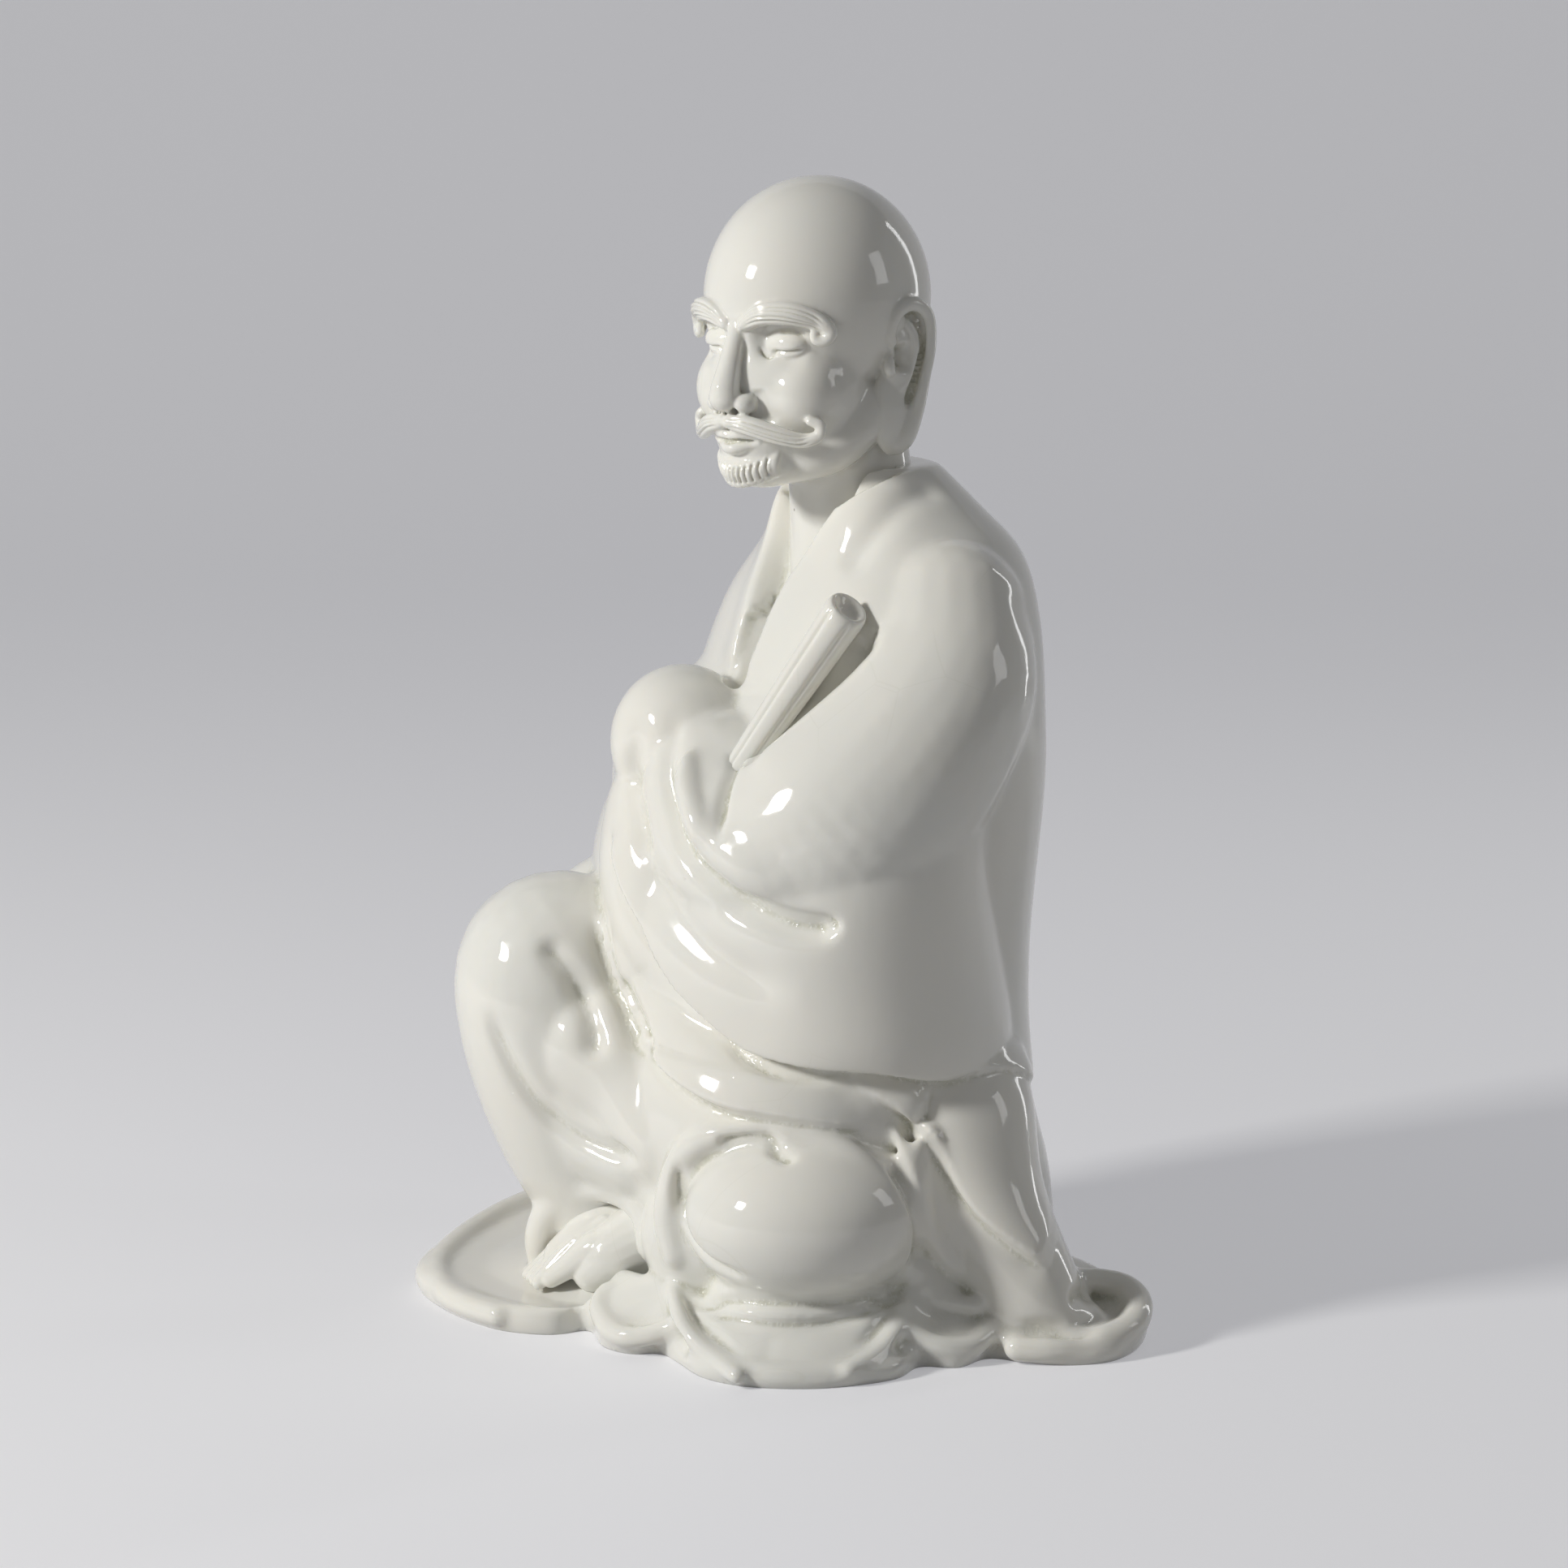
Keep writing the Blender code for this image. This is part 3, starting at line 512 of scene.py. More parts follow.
def rim_masses(pile):
    """Rounded edges of the hem where it lies on the ground, and of the cloth that falls to it."""
    left_lobe = [
        (3, -54, 2.8, 2.1),
        (-5, -57, 2.8, 2.3),
        (-15, -58, 2.8, 2.4),
        (-28, -55, 3.6, 2.5),
        (-39, -47, 4.9, 2.5),
        (-48, -36, 6.4, 2.5),
        (-53, -25, 8, 2.4),
    ]
    left_wave = [
        (12, -37, 8, 1.7),
        (14.5, -39.5, 6.4, 1.8),
        (19, -40, 4.6, 2.0),
        (24, -38.5, 3.4, 2.2),
        (27.5, -35, 4.0, 2.0),
        (30, -31.5, 5.6, 1.8),
        (34.5, -29.5, 5.4, 1.8),
        (40, -29, 4.0, 1.9),
        (46, -26.5, 2.8, 2.0),
        (51.5, -20.5, 2.1, 2.1),
        (53.8, -12, 1.9, 2.1),
        (53.4, -5, 2.6, 2.1),
        (51, -0.5, 4.6, 1.9),
        (48.8, 2.5, 6.8, 1.8),
        (50, 6, 5.4, 1.9),
        (51.8, 10, 3.6, 2.1),
        (52, 15, 3.4, 2.1),
        (49.8, 19, 5.2, 1.9),
        (46, 22.5, 7.6, 1.7),
    ]
    fall = [
        (43.6, 4.5, 39.5, 1.2),
        (46.2, 6, 34, 1.5),
        (46.6, 8, 26, 1.6),
        (45.4, 11, 20, 1.7),
        (44.8, 15, 15.6, 1.8),
        (45, 20.5, 12.6, 1.9),
        (45, 28, 11, 2.0),
        (42.5, 36, 10, 2.1),
        (43, 43, 9.4, 2.3),
        (46, 47, 8.4, 2.5),
        (51, 47, 6.8, 2.6),
        (56, 43, 4.8, 2.6),
        (57.6, 36, 3.4, 2.6),
        (57, 28, 2.9, 2.6),
        (54.5, 22, 2.8, 2.4),
    ]
    for rim in (left_lobe, left_wave, fall):
        limb(pile, rim, steps=6)
    # Each sheet: inner edge, outer edge, radius of its ribs, number of ribs
    sheets = (
        (
            [(24, -28, 9), (32, -26.5, 8), (39, -21, 7.5), (44, -12, 7.5), (46, -3, 8), (45.5, 4, 9)],
            [
                (31, -30, 4.2),
                (38, -29, 3.4),
                (45.5, -26, 2.2),
                (52.5, -16, 1.2),
                (52.5, -5, 1.8),
                (48.5, 1.5, 5),
            ],
            2.3,
            30,
        ),
        (
            [(10, -33, 9), (17, -31.5, 9.5), (25, -28, 9.5)],
            [(13, -38, 6), (19.5, -38.5, 3.4), (27.5, -32.5, 4)],
            2,
            14,
        ),
        (
            [(45, 3, 9), (43.5, 10, 9.5), (43, 17, 8.5)],
            [(48.5, 4.5, 5.4), (50.5, 11.5, 2.8), (48.5, 18, 4.4)],
            2,
            12,
        ),
        (
            [(43, 20, 9), (44, 29, 8), (45, 38, 7.5)],
            [(53, 23, 2.6), (55.5, 31, 2.8), (54.5, 39, 3.2)],
            2.2,
            14,
        ),
        (
            [(45.6, 7.5, 38), (45.8, 8.5, 30), (45.2, 11.5, 23), (44.8, 15.5, 17), (45, 21, 13)],
            [(44.4, 9.6, 39), (45, 14.5, 32), (47, 19.5, 25), (49, 25.5, 18.5), (50, 31, 13)],
            1.4,
            34,
        ),
    )
    for inner, outer, radius, ribs in sheets:
        sheet(pile, inner, outer, radius, ribs)
    front_crest = [
        (23.9, -29.3, 10.8, 1.5),
        (30.9, -31.1, 9.3, 1.5),
        (35.6, -31.7, 7.5, 1.6),
        (39.1, -30.7, 5.5, 1.6),
        (43.5, -29.1, 3.7, 1.6),
        (50.1, -27.6, 2.3, 1.6),
    ]
    side_crest = [
        (42.7, 4.7, 10.3, 1.4),
        (46.9, 3.6, 8.7, 1.5),
        (50.2, 1.4, 6.7, 1.6),
        (53, -3.3, 4.3, 1.6),
        (55.7, -9.8, 2.7, 1.6),
    ]
    rear_crest = [
        (44.1, 7.6, 11, 1.4),
        (45.7, 11.4, 10.3, 1.4),
        (47.7, 16.6, 9.1, 1.5),
        (47, 22.3, 8.3, 1.6),
        (48.1, 22.8, 6.5, 1.6),
        (50.8, 19.1, 4.5, 1.6),
    ]
    for crest in (front_crest, side_crest, rear_crest):
        limb(pile, crest, steps=5)


def arm_masses(pile):
    ball(pile, (-1, -17.5, 102), (12.8, 12.8, 13.6))
    left = [(26, 21, 125, 14), (33, 16, 112, 16.5), (31, 1, 93, 20), (21, -9, 86, 19), (9, -14, 94, 15)]
    right = [
        (-26, 21, 125, 14),
        (-36, 16.5, 110, 14),
        (-37, 3, 89.5, 14),
        (-22, -9, 89.5, 13),
        (-6, -15.5, 99, 12.5),
    ]
    limb(pile, left)
    limb(pile, right)


def leg_masses(pile):
    raised = [
        (-12, 10, 30, 22),
        (-15, -14, 46, 20),
        (-17.5, -34.5, 60, 17),
        (-16, -37.5, 52, 16.5),
        (-13.5, -34.5, 35, 14.8),
        (-11.5, -28.5, 18, 12),
    ]
    limb(pile, raised)
    band = [
        (-3, -25.5, 78, 6),
        (1, -25, 69, 6.2),
        (6, -23.2, 60.5, 6.2),
        (14.5, -21.7, 54.5, 6.2),
        (24.5, -17.8, 49.8, 6.2),
        (32, -11.5, 47.2, 6.2),
        (37.2, -1, 46.2, 6),
        (39.5, 6, 45.2, 5),
    ]
    limb(pile, band)
    low_cloth = [(-13, -34, 42, 15), (-5, -31, 34, 11.5), (4, -27, 30, 9.5)]
    high_cloth = [(-6, -32, 48, 13), (3, -28, 42, 10), (12, -25, 34, 9)]
    limb(pile, low_cloth)
    limb(pile, high_cloth)
    cuff = [
        (-13.5, -38.5, 5, 3.4),
        (-12.5, -40.5, 11, 3.3),
        (-9.5, -40, 17, 3.0),
        (-5, -37.2, 21, 2.7),
        (0, -34, 23, 2.5),
        (6, -31, 22.6, 2.4),
        (10.5, -29.5, 20, 2.3),
        (12.5, -29.5, 15, 2.2),
    ]
    limb(pile, cuff)
    thigh = [(14, 12, 24, 22), (26, 0, 24, 20), (32, -8, 24, 18)]
    below_knee = [(-1, 33, -10, 15, 18), (8, 33, -9, 14.5, 17), (14, 33, -8.5, 13, 15), (17, 33, -8, 10, 12)]
    limb(pile, thigh)
    ball(pile, (33.8, -7.8, 25), (20, 22, 15.5))
    loft(pile, below_knee)
    ball(pile, (18, -20, 18), (13, 12, 13))
    ring = [
        (25, -29, 17, 2.6),
        (23.5, -29.5, 24, 3.0),
        (24.5, -28, 32, 3.0),
        (29, -25.5, 38, 2.7),
        (34.5, -20.5, 40.5, 2.4),
        (40, -12.5, 40.6, 2.2),
        (44.5, -4.5, 37.4, 2.0),
        (46.4, 1.5, 31.2, 1.9),
        (45.6, 5, 24, 1.6),
        (44, 7.5, 17.5, 1.5),
    ]
    behind_ring = [(38, 4, 22, 6), (39.5, 8, 14, 6.4), (41, 14, 8, 6)]
    neck = [(0, 16, 122, 10.8), (0, 12.5, 138, 10.8)]
    limb(pile, ring, steps=6)
    limb(pile, behind_ring)
    ball(pile, (-29, -18, 64), (15, 15, 13.5))
    limb(pile, neck)


def work_collar(skin, sizes):
    step = sizes.collar_step / MM
    opening = [
        (0, 18, 150),
        (0, 12, 149),
        (0.5, 5, 145),
        (0.5, 1, 138),
        (1, -1.5, 131),
        (2, -4.5, 123),
        (3, -8, 115),
        (4, -12, 109),
    ]
    widths = (11, 12, 12.6, 10, 6.8, 4.2, 2.6, 1.4)
    left = [
        (13, 22, 150),
        (14.5, 13, 146),
        (12, 6, 142),
        (9, 1, 136),
        (7.5, -3, 129),
        (6.5, -7, 121),
        (6, -13, 111),
    ]
    right = [(-1, -12, 112), (-2, -7, 120), (-4.5, -3, 129), (-7, 1, 136), (-11, 6, 142), (-15, 13, 146)]
    fold = [(18, 24, 148), (20, 16, 145), (21, 9, 139), (20, 4, 132)]
    skin.stroke(opening, sizes.opening_depth / MM, widths, "trench", fade=(0.01, 0.12))
    skin.stroke(left, step, 0.9, "ledge", 7)
    skin.stroke(right, step, 0.9, "ledge", 6)
    skin.stroke(fold, sizes.soft_fold / MM * 0.6, 2.4)


def work_sleeves(skin, sizes):
    deep = sizes.deep_fold / MM
    soft = sizes.soft_fold / MM
    arm_fold = [(33, 5, 126), (31, -3, 117), (29, -11, 108), (27, -17, 100)]
    arm_edge = [
        (31, 9, 125),
        (32, 5, 117.5),
        (32, -1, 112),
        (31, -7, 107.5),
        (30, -12, 103.5),
        (29, -17, 100),
    ]
    notch = [(22, -17, 106), (26, -19, 102), (29, -21, 97), (33, -23, 89)]
    notch_lip = [(17, -23, 105), (22, -26, 99), (27, -26, 94), (31, -25, 89)]
    cuff_fold = [(4, -26, 109), (5, -28, 103), (4, -29, 97), (8, -29, 91), (13, -28, 83)]
    long_fold = [
        (8, -21, 111),
        (12, -25, 105),
        (16, -27, 98),
        (22, -27, 90),
        (28, -25, 85),
        (35, -19, 80),
        (40, -12, 77),
        (43, -6, 77),
    ]
    long_widths = (1.6, 1.9, 2.1, 2.2, 2.3, 2.3, 2.1, 1.6)
    long_core = [(31, -22, 83), (37, -17, 79.5), (41, -11, 78), (43, -5, 77.5)]
    roll = [(16, -23, 106), (22, -25, 98), (29, -24, 91), (36, -18, 86), (42, -10, 83)]
    low_fold = [(12, -29, 87), (16, -28, 80), (27, -25, 72), (35, -20, 68), (41, -11, 65)]
    skin.stroke(arm_fold, deep, 3.2)
    skin.stroke(arm_edge, soft, 0.9, "ledge", 6)
    skin.stroke(notch, deep * 0.8, 1.1, fade=(0.2, 0.3))
    skin.stroke(notch_lip, soft * 1.2, 1.3, "ridge", fade=(0.2, 0.3))
    skin.stroke(cuff_fold, soft, 2.4, fade=(0.4, 0.2))
    skin.stroke(long_fold, deep, long_widths, fade=(0.4, 0.06))
    skin.stroke(long_core, deep * 0.7, 1.2, fade=(0.3, 0.15))
    skin.stroke(roll, soft, 3.5, "ridge", fade=(0.25, 0.3))
    skin.stroke(low_fold, soft, 3.2, fade=(0.3, 0.3))


def work_hems(skin, sizes):
    step = sizes.hem_step / MM
    soft = sizes.soft_fold / MM
    hem = [
        (0, -31, 88),
        (5, -32, 81),
        (11, -30, 74),
        (19, -27, 64.5),
        (26, -24, 59),
        (33, -19, 54),
        (40, -12, 52),
        (44, 2, 51.5),
        (40, 20, 47),
        (31, 33, 43),
        (14, 40, 41),
        (-8, 42, 41),
        (-28, 34, 44),
        (-42, 14, 50),
        (-45, -4, 57),
    ]
    hem_shares = (0.5, 0.8, 1, 1, 1, 1, 1, 0.7, 0.4, 0.25, 0.2, 0.2, 0.25, 0.4, 0.6)
    under_hem = [(x, y, z - 1.6) for x, y, z in hem[:9]]
    skin.stroke(hem, [step * share for share in hem_shares], 1.2, "ledge", 9, (0.03, 0.06))
    skin.stroke(under_hem, step * 0.4, 1.1, fade=(0.1, 0.2))
    lower = [
        (-7, -33, 71),
        (-3, -32, 65),
        (1, -30, 57),
        (13, -29, 50.5),
        (24, -26, 46),
        (34, -21, 43.5),
        (42, -10, 42),
        (45, 5, 41),
    ]
    lower_shares = (1, 1, 1, 1, 1, 0.9, 0.55, 0.3)
    under_lower = [(x, y, z - 1.4) for x, y, z in lower[:6]]
    skin.stroke(lower, [step * share for share in lower_shares], 1.3, "ledge", 7, (0.1, 0.2))
    skin.stroke(under_lower, step * 0.35, 1.2, fade=(0.15, 0.35))
    fall = [
        (43, -7.9, 51.5),
        (44, -0.4, 46.8),
        (45, 7.6, 40.4),
        (46, 12.7, 32.6),
        (49, 17.4, 25.1),
        (52, 23.6, 18.9),
        (54, 29, 15.3),
    ]
    skin.stroke(fall, soft * 1.6, 1.1, "ledge", 8, (0.4, 0.1))


def work_legs(skin, sizes):
    groove = sizes.leg_groove / MM
    soft = sizes.soft_fold / MM
    inner_groove = [(-5, -43, 68), (-1, -38, 61), (0, -35, 53), (1, -33, 46)]
    outer_groove = [(-8, -53, 56), (-4, -49, 45), (0, -44, 37), (5, -38, 33), (18, -32, 31)]
    knee_top = [(33, -25, 38), (38, -20, 39.5), (42, -17, 39), (45, -15, 36)]
    knee_front = [(27, -29, 35), (27, -29, 27), (33, -28, 21), (44, -23, 17)]
    knee_back = [(46, 2, 37), (48, 4, 30), (48, 6, 23), (44, 7, 16)]
    skin.stroke(inner_groove, groove, 2.2)
    skin.stroke(outer_groove, groove * 0.8, 1.8)
    skin.stroke(knee_top, soft, 1.2)
    skin.stroke(knee_front, soft, 1.2)
    skin.stroke(knee_back, soft, 1.5)


def work_ground(skin, sizes):
    """Furrows of the cloth under the knee and along the waves on the ground."""
    soft = sizes.soft_fold / MM
    under_knee = [
        (25.9, -28.7, 13),
        (35.2, -27, 12),
        (40.3, -20.2, 11.5),
        (42.3, -12, 11),
        (45.6, -4.4, 11.5),
        (46, 3, 12.5),
        (42.4, 9.4, 14),
    ]
    step = [(33.1, -28.9, 9.5), (40.3, -21.6, 8.5), (44.1, -12.8, 8), (45.7, -4.4, 8.5), (45, 3.1, 10.5)]
    front_crest = [
        (28, -27.9, 11),
        (32.4, -28.7, 9.4),
        (37.8, -28.1, 7.4),
        (42.8, -26.5, 5.2),
        (49.1, -25.1, 4),
    ]
    front_dish = [(22.7, -35.7, 11), (26.2, -37.6, 9), (28.2, -38.7, 6.5)]
    front_under = [(31.8, -33.8, 5.5), (34.4, -33, 5), (38.3, -32.1, 4)]
    side_crest = [(44.2, 1.9, 11), (47.7, 0.7, 9.5), (50.2, -2.5, 7.4), (52.3, -7.2, 5.4)]
    side_dish = [(46.7, 9.9, 10.5), (49.9, 10, 8.5), (52.3, 10.8, 6.5)]
    side_under = [(52.3, -0.1, 6), (53.5, 2.7, 4.6), (55.8, 4.7, 3.6)]
    inner_hairpin = [(50.9, 29.8, 8), (48.2, 34.9, 8), (45.7, 41.3, 7.5)]
    outer_hairpin = [(50.2, 23.3, 5.5), (55.6, 27.6, 5.5), (58.5, 32.3, 5.5), (57.5, 37, 6)]
    # Each furrow: route, share of a soft fold's depth, width, fade at either end
    furrows = (
        (under_knee, 0.9, 1.1, (0.15, 0.15)),
        (step, 0.7, 0.9, (0.15, 0.15)),
        (front_crest, 0.6, 1.0, (0.2, 0.4)),
        (front_dish, 0.45, 3.6, (0.4, 0.4)),
        (front_under, 0.9, 1.8, (0.4, 0.4)),
        (side_crest, 0.6, 1.0, (0.2, 0.4)),
        (side_dish, 0.5, 3.0, (0.4, 0.4)),
        (side_under, 0.5, 1.8, (0.4, 0.4)),
        (inner_hairpin, 0.9, 1.5, (0.3, 0.3)),
        (outer_hairpin, 0.9, 1.5, (0.3, 0.3)),
    )
    for route, share, width, fade in furrows:
        skin.stroke(route, soft * share, width, fade=fade)


def open_below(made):
    """Cuts the skin flat at the ground and lines the hollow, leaving a flat bare foot between them."""
    bm = bmesh.new()
    bm.from_mesh(made.data)
    bmesh.ops.bisect_plane(
        bm,
        geom=bm.verts[:] + bm.edges[:] + bm.faces[:],
        dist=1e-4,
        plane_co=(0, 0, 0),
        plane_no=(0, 0, 1),
        clear_inner=True,
    )
    hollow = [
        (0, 0, 9.5, 36, 28),
        (8, 0, 10, 35, 27),
        (40, 0, 13, 31, 24),
        (80, 0, 17, 29, 21),
        (108, 0, 20, 27, 17),
        (122, 0, 21, 20, 11),
        (128, 0, 21, 8, 5),
    ]
    top = stack(bm, rounded_rings(hollow, 2.2, 64, 5), closed=False)
    lining = {top}
    grow = [top]
    while grow:
        for edge in grow.pop().edges:
            for face in edge.link_faces:
                if face not in lining:
                    lining.add(face)
                    grow.append(face)
    rim = [edge for edge in bm.edges if edge.is_boundary]
    foot = bmesh.ops.triangle_fill(bm, use_beauty=True, use_dissolve=False, edges=rim, normal=(0, 0, -1))
    for face in lining.union(g for g in foot["geom"] if isinstance(g, bmesh.types.BMFace)):
        face.material_index = 1
    bmesh.ops.recalc_face_normals(bm, faces=bm.faces)
    bm.to_mesh(made.data)
    bm.free()


class PORCELAIN_OT_robe(bpy.types.Operator):
    """Models the robed body, its legs and its spread on the ground"""

    bl_idname = "porcelain.robe"
    bl_label = "Robed body"

    def execute(self, context):
        sizes = context.scene.monk_robe
        pile = bmesh.new()
        robe_masses(pile)
        spread_mass(pile)
        rim_masses(pile)
        arm_masses(pile)
        leg_masses(pile)
        made = joined(mesh_object("robe", pile), sizes.grain / MM, sizes.softening)
        skin = Skin(made)
        work_collar(skin, sizes)
        work_sleeves(skin, sizes)
        work_hems(skin, sizes)
        work_legs(skin, sizes)
        work_ground(skin, sizes)
        joined(made, sizes.grain / MM, softening=4)
        mark_hollows(made)
        thinned(made, most=180000)
        open_below(made)
        hand_over(made, [glaze("ivory glaze"), bare_clay("bare clay")])
        return {"FINISHED"}


# The head


def head_place(sizes):
    put = Matrix.Translation((0, sizes.back / MM, sizes.height / MM))
    return put @ Matrix.Rotation(sizes.turn, 4, "Z")


def skull_masses(pile, place):
    """The bald skull, the jaw and the neck, without features."""
    ball(pile, (0, 2.6, 6.5), (18.4, 21.6, 21), place)
    ball(pile, (0, -5.2, -8), (15, 13.4, 17.4), place)
    ball(pile, (0, 8, -9), (15.2, 12.6, 15.5), place)
    ball(pile, (0, -11.5, -21), (7.6, 6.8, 5), place)
    ball(pile, (0, -11.8, -16), (8.5, 7.6, 7), place)
    for s in (1, -1):
        limb(pile, [(12 * s, 3, -12, 5), (9.5 * s, -5, -18.5, 5), (0, -10.5, -21, 5)], place)
        ball(pile, (8.2 * s, -8.6, -9), (7, 8.2, 8), place)
    limb(pile, [(0, 14.5, 130, 11.5), (0, 14, 143, 11), (0, 13, 152, 11), (0, 9, 161, 12)])


def brow_route(s):
    return [
        (2.2 * s, -18.4, 2.8, 1.2),
        (6 * s, -17.8, 4.6, 1.9),
        (10.4 * s, -15.6, 4.8, 2.0),
        (13.8 * s, -12.6, 3.6, 1.6),
        (15.4 * s, -11, 1.9, 1.3),
        (14.9 * s, -11.6, 0.3, 1.1),
        (13.7 * s, -12.8, 0.4, 0.9),
        (13.5 * s, -13, 1.4, 0.8),
    ]


def moustache_route(s):
    return [
        (0.8 * s, -20.6, -13.8, 1.3),
        (4.5 * s, -19.4, -14.4, 1.7),
        (8.6 * s, -16.8, -15.9, 1.6),
        (11.8 * s, -14, -16.8, 1.3),
        (13.9 * s, -12.2, -16.0, 1.1),
        (14.2 * s, -12.2, -14.2, 1.0),
        (12.9 * s, -13.4, -13.5, 0.8),
    ]


def face_masses(pile, place):
    limb(pile, [(0, -17.2, 3, 1.6), (0, -19.3, -3.2, 1.9), (0, -20.8, -8.4, 2.6)], place)
    ball(pile, (0, -20.9, -9.6), (2.8, 2.7, 2.6), place)
    upper = [
        (-4.8, -17.4, -17.0, 0.7),
        (-1.7, -19.1, -16.1, 1.2),
        (0, -19.3, -16.4, 1.0),
        (1.7, -19.1, -16.1, 1.2),
        (4.8, -17.4, -17.0, 0.7),
    ]
    limb(pile, upper, place)
    limb(pile, [(-4, -17.4, -17.6, 0.8), (0, -19, -18.3, 1.4), (4, -17.4, -17.6, 0.8)], place)
    for k in range(-6, 7):
        x = 1.05 * k
        back = 0.085 * x * x
        high = -21 + 0.05 * x * x
        lock = [
            (x, -17.6 + back, high, 0.8),
            (0.97 * x, -18.4 + back, high - 1.8, 1.05),
            (0.92 * x, -17.6 + back, high - 3.8, 0.8),
        ]
        limb(pile, lock, place, steps=4)
    for s in (1, -1):
        limb(pile, brow_route(s), place, steps=5)
        limb(pile, moustache_route(s), place, steps=5)
        ball(pile, (3 * s, -18.9, -10.7), (2, 2.4, 1.8), place)
        ball(pile, (7 * s, -12.7, -0.6), (4.6, 3.2, 2.9), place)


def ear_masses(pile, s, low, place):
    """The long ear of one side, s being 1 on the figure's left and -1 on its right."""
    ball(pile, (16.2 * s, 6.2, -4), (2.2, 4.6, 9), place)
    ball(pile, (15.6 * s, 4.6, low + 6.5), (2.4, 4.4, 8), place)
    ball(pile, (17.2 * s, 2.4, -4.8), (1.2, 1.3, 2.0), place)
    helix = [
        (17.0 * s, 4.2, -3, 0.8),
        (17.4 * s, 2.0, 0.8, 1.1),
        (18.1 * s, 3.2, 4.6, 1.3),
        (18.8 * s, 6.4, 5.8, 1.4),
        (19.1 * s, 9.4, 3.6, 1.5),
        (18.8 * s, 10.3, -1.5, 1.5),
        (18.1 * s, 9.5, -7, 1.6),
        (17.4 * s, 8.3, low + 7, 2.0),
        (16.5 * s, 6.6, low + 2.4, 2.4),
        (15.9 * s, 5.4, low + 0.8, 2.2),
    ]
    limb(pile, helix, place)
    fold = [
        (17.6 * s, 6.0, 2.6, 0.8),
        (18.2 * s, 7.1, 0.2, 1.0),
        (18.0 * s, 7.2, -3.6, 1.1),
        (17.5 * s, 6.0, -7.4, 1.0),
        (17.2 * s, 4.5, -8.6, 0.9),
    ]
    limb(pile, fold, place)


def work_sockets(skin):
    for s in (1, -1):
        socket = [(2.4 * s, -17.4, 0.4), (7 * s, -16.4, 0.6), (12.4 * s, -12.4, 0)]
        beside_nose = [(4.6 * s, -18, -8), (5.4 * s, -17.6, -11.4), (7.2 * s, -16.6, -14.6)]
        skin.stroke(socket, 2.3, 3.4, fade=(0.3, 0.35))
        skin.stroke(beside_nose, 0.7, 1.4)


def work_hair(skin, route, lifts, depth):
    """Fine furrows along a brow or a moustache, each at its own height."""
    for lift in lifts:
        skin.stroke([(x, y - 1.2, z + lift) for x, y, z, _ in route[:5]], depth, 0.26)


def work_face(skin):
    """Lids of the downcast eyes, the mouth, and the hair of the brows, moustache and beard."""
    mouth = [
        (-5.2, -17.6, -17.3),
        (-2.4, -19.4, -17.1),
        (0, -20.2, -17.4),
        (2.4, -19.4, -17.1),
        (5.2, -17.6, -17.3),
    ]
    skin.stroke(mouth, 0.75, 0.42)
    for s in (1, -1):
        lashes = [
            (3.2 * s, -16, -0.9),
            (5 * s, -16.4, -1.9),
            (7.1 * s, -16.4, -2.3),
            (9.2 * s, -15, -1.9),
            (11 * s, -12.8, -0.8),
        ]
        crease = [
            (3.4 * s, -16, 1.1),
            (5.2 * s, -16, 2.0),
            (7.1 * s, -15.8, 2.2),
            (9.1 * s, -14.4, 1.8),
            (11 * s, -12, 0.6),
        ]
        nostril = [(1.4 * s, -20.8, -12.0), (2.2 * s, -19.8, -12.2)]
        skin.stroke(lashes, 0.7, 0.42)
        skin.stroke(crease, 0.3, 0.4)
        skin.stroke(nostril, 0.9, 0.7, fade=(0.3, 0.3))
        work_hair(skin, brow_route(s), (-0.9, -0.3, 0.3, 0.9), 0.38)
        work_hair(skin, moustache_route(s), (-0.7, 0, 0.7), 0.36)
    for k in range(-6, 6):
        x = 1.05 * (k + 0.5)
        back = 0.085 * x * x
        high = -21.4 + 0.05 * x * x
        between_locks = [
            (x, -19 + back, high),
            (0.97 * x, -19.4 + back, high - 1.8),
            (0.92 * x, -18.4 + back, high - 3.6),
        ]
        skin.stroke(between_locks, 0.5, 0.25)


def work_ears(skin):
    for s in (1, -1):
        canal = [(17.4 * s, 4.4, -0.6), (17.4 * s, 4.6, -3), (17.2 * s, 4.6, -6.2)]
        hollow = [
            (18 * s, 4.4, 3.2),
            (18.4 * s, 7.2, 3.8),
            (18.7 * s, 8.8, 1),
            (18.3 * s, 8.6, -4),
            (17.6 * s, 7.4, -9),
            (16.9 * s, 6.2, -13),
        ]
        skin.stroke(canal, 2.2, 1.25, fade=(0.25, 0.25))
        skin.stroke(hollow, 1.1, 0.8)


class PORCELAIN_OT_head(bpy.types.Operator):
    """Models the head and the neck"""

    bl_idname = "porcelain.head"
    bl_label = "Head"

    def execute(self, context):
        sizes = context.scene.monk_head
        place = head_place(sizes)
        pile = bmesh.new()
        skull_masses(pile, place)
        made = joined(mesh_object("head", pile), grain=0.5, softening=26)
        work_sockets(Skin(made, place))
        pile = bmesh.new()
        pile.from_mesh(made.data)
        face_masses(pile, place)
        for s in (1, -1):
            ear_masses(pile, s, 5 - sizes.ear_length / MM, place)
        pile.to_mesh(made.data)
        pile.free()
        joined(made, sizes.grain / MM, softening=9)
        skin = Skin(made, place)
        work_face(skin)
        work_ears(skin)
        mark_hollows(made)
        thinned(made, most=190000)
        hand_over(made, [glaze("ivory glaze")])
        return {"FINISHED"}


# The foot and the scroll


